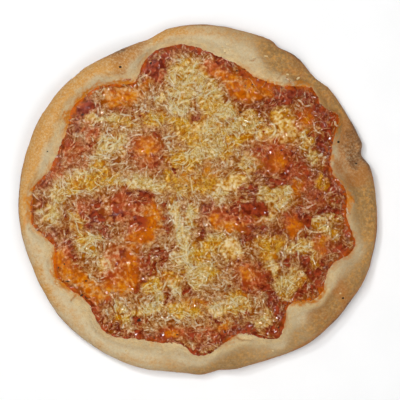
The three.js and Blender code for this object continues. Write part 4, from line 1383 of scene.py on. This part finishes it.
view = {
    "pictureSize": 400,  # pixels across the picture
    "middle": (198.5, 199.5),  # the pixel where the origin lies
    "pixel": 0.8357,  # millimetres across one pixel
    "distance": 1700,  # from the camera to the pizza
    "planeHeight": 8,  # the height at which a pixel has that size
    "sensor": 36,
    "farthest": 20,  # metres
}
ground = {
    "half": 3,  # metres, as are the rest
    "cells": 12,
    "drop": 0.0002,
}


def makeCamera():
    camera = bpy.data.cameras.new("camera")
    camera.type = "PERSP"
    camera.sensor_width = view["sensor"]
    camera.lens = view["sensor"] * view["distance"] / (view["pictureSize"] * view["pixel"])
    camera.clip_end = view["farthest"]
    holder = bpy.data.objects.new("camera", camera)
    offset = view["pictureSize"] / 2
    x = (offset - view["middle"][0]) * view["pixel"]
    y = (view["middle"][1] - offset) * view["pixel"]
    holder.location = (x * mm, y * mm, (view["distance"] + view["planeHeight"]) * mm)
    bpy.context.scene.collection.objects.link(holder)
    bpy.context.scene.camera = holder


# A round lamp that faces the origin, with its place and size in metres, so strong that it alone would
# give a white sheet there the stated share of full brightness:
# power = share * pi^2 * distance^2 / cos(angle from the vertical)
def makeLight(name, place, size, share, glints=False):
    distance = math.hypot(*place)
    lamp = bpy.data.lights.new(name, "AREA")
    lamp.shape = "DISK"
    lamp.size = size
    lamp.energy = share * math.pi**2 * distance**3 / place[2]
    holder = bpy.data.objects.new(name, lamp)
    holder.location = place
    lean = math.atan2(math.hypot(place[0], place[1]), place[2])
    holder.rotation_euler = (lean, 0, math.atan2(-place[1], -place[0]) - math.pi / 2)
    holder.visible_glossy = glints
    bpy.context.scene.collection.objects.link(holder)


def makeFloor():
    material, tree = newMaterial("paleFloor")
    colour = mixOf(tree, noiseOf(tree, 40, 0.3, 0.7), (0.95, 0.95, 0.95), (0.97, 0.97, 0.97))
    finishMaterial(tree, colour, 0.7, noiseOf(tree, 4), 0.01, Specular_IOR_Level=0.2)
    cells = ground["cells"]
    across = np.linspace(-ground["half"], ground["half"], cells + 1)
    x, y = np.meshgrid(across, across)
    points = np.stack([x, y, np.full_like(x, -ground["drop"])], -1).reshape(-1, 3)
    row, column = np.meshgrid(np.arange(cells), np.arange(cells), indexing="ij")
    here = (row * (cells + 1) + column).ravel()
    above = here + cells + 1
    faces = np.stack([here, here + 1, above + 1, above], -1)
    mesh = bpy.data.meshes.new("floor")
    mesh.from_pydata(points.tolist(), [], faces.tolist())
    mesh.materials.append(material)
    floor = bpy.data.objects.new("floor", mesh)
    bpy.context.scene.collection.objects.link(floor)


def makeSurroundings():
    world = bpy.data.worlds.new("softRoom")
    world.use_nodes = True
    world.node_tree.nodes["Background"].inputs["Color"].default_value = (1, 1, 1, 1)
    world.node_tree.nodes["Background"].inputs["Strength"].default_value = 0.18
    world.cycles_visibility.glossy = False
    bpy.context.scene.world = world
    bpy.context.scene.view_settings.view_transform = "Standard"


print("setting the light and the camera")
makeCamera()
makeFloor()
makeLight("key", (-0.2, 0.12, 1.0), 0.5, 0.3)
makeLight("sparkle", (-0.42, 0.5, 1.0), 0.18, 0.2, glints=True)
makeLight("sparkleHigh", (0.05, 0.5, 1.2), 0.14, 0.07, glints=True)
makeLight("sparkleLeft", (-0.6, -0.1, 1.1), 0.14, 0.07, glints=True)
makeLight("fillRight", (1.3, -0.5, 1.5), 1.4, 0.22)
makeLight("fillFront", (0.1, -0.9, 0.9), 0.8, 0.1)
makeSurroundings()
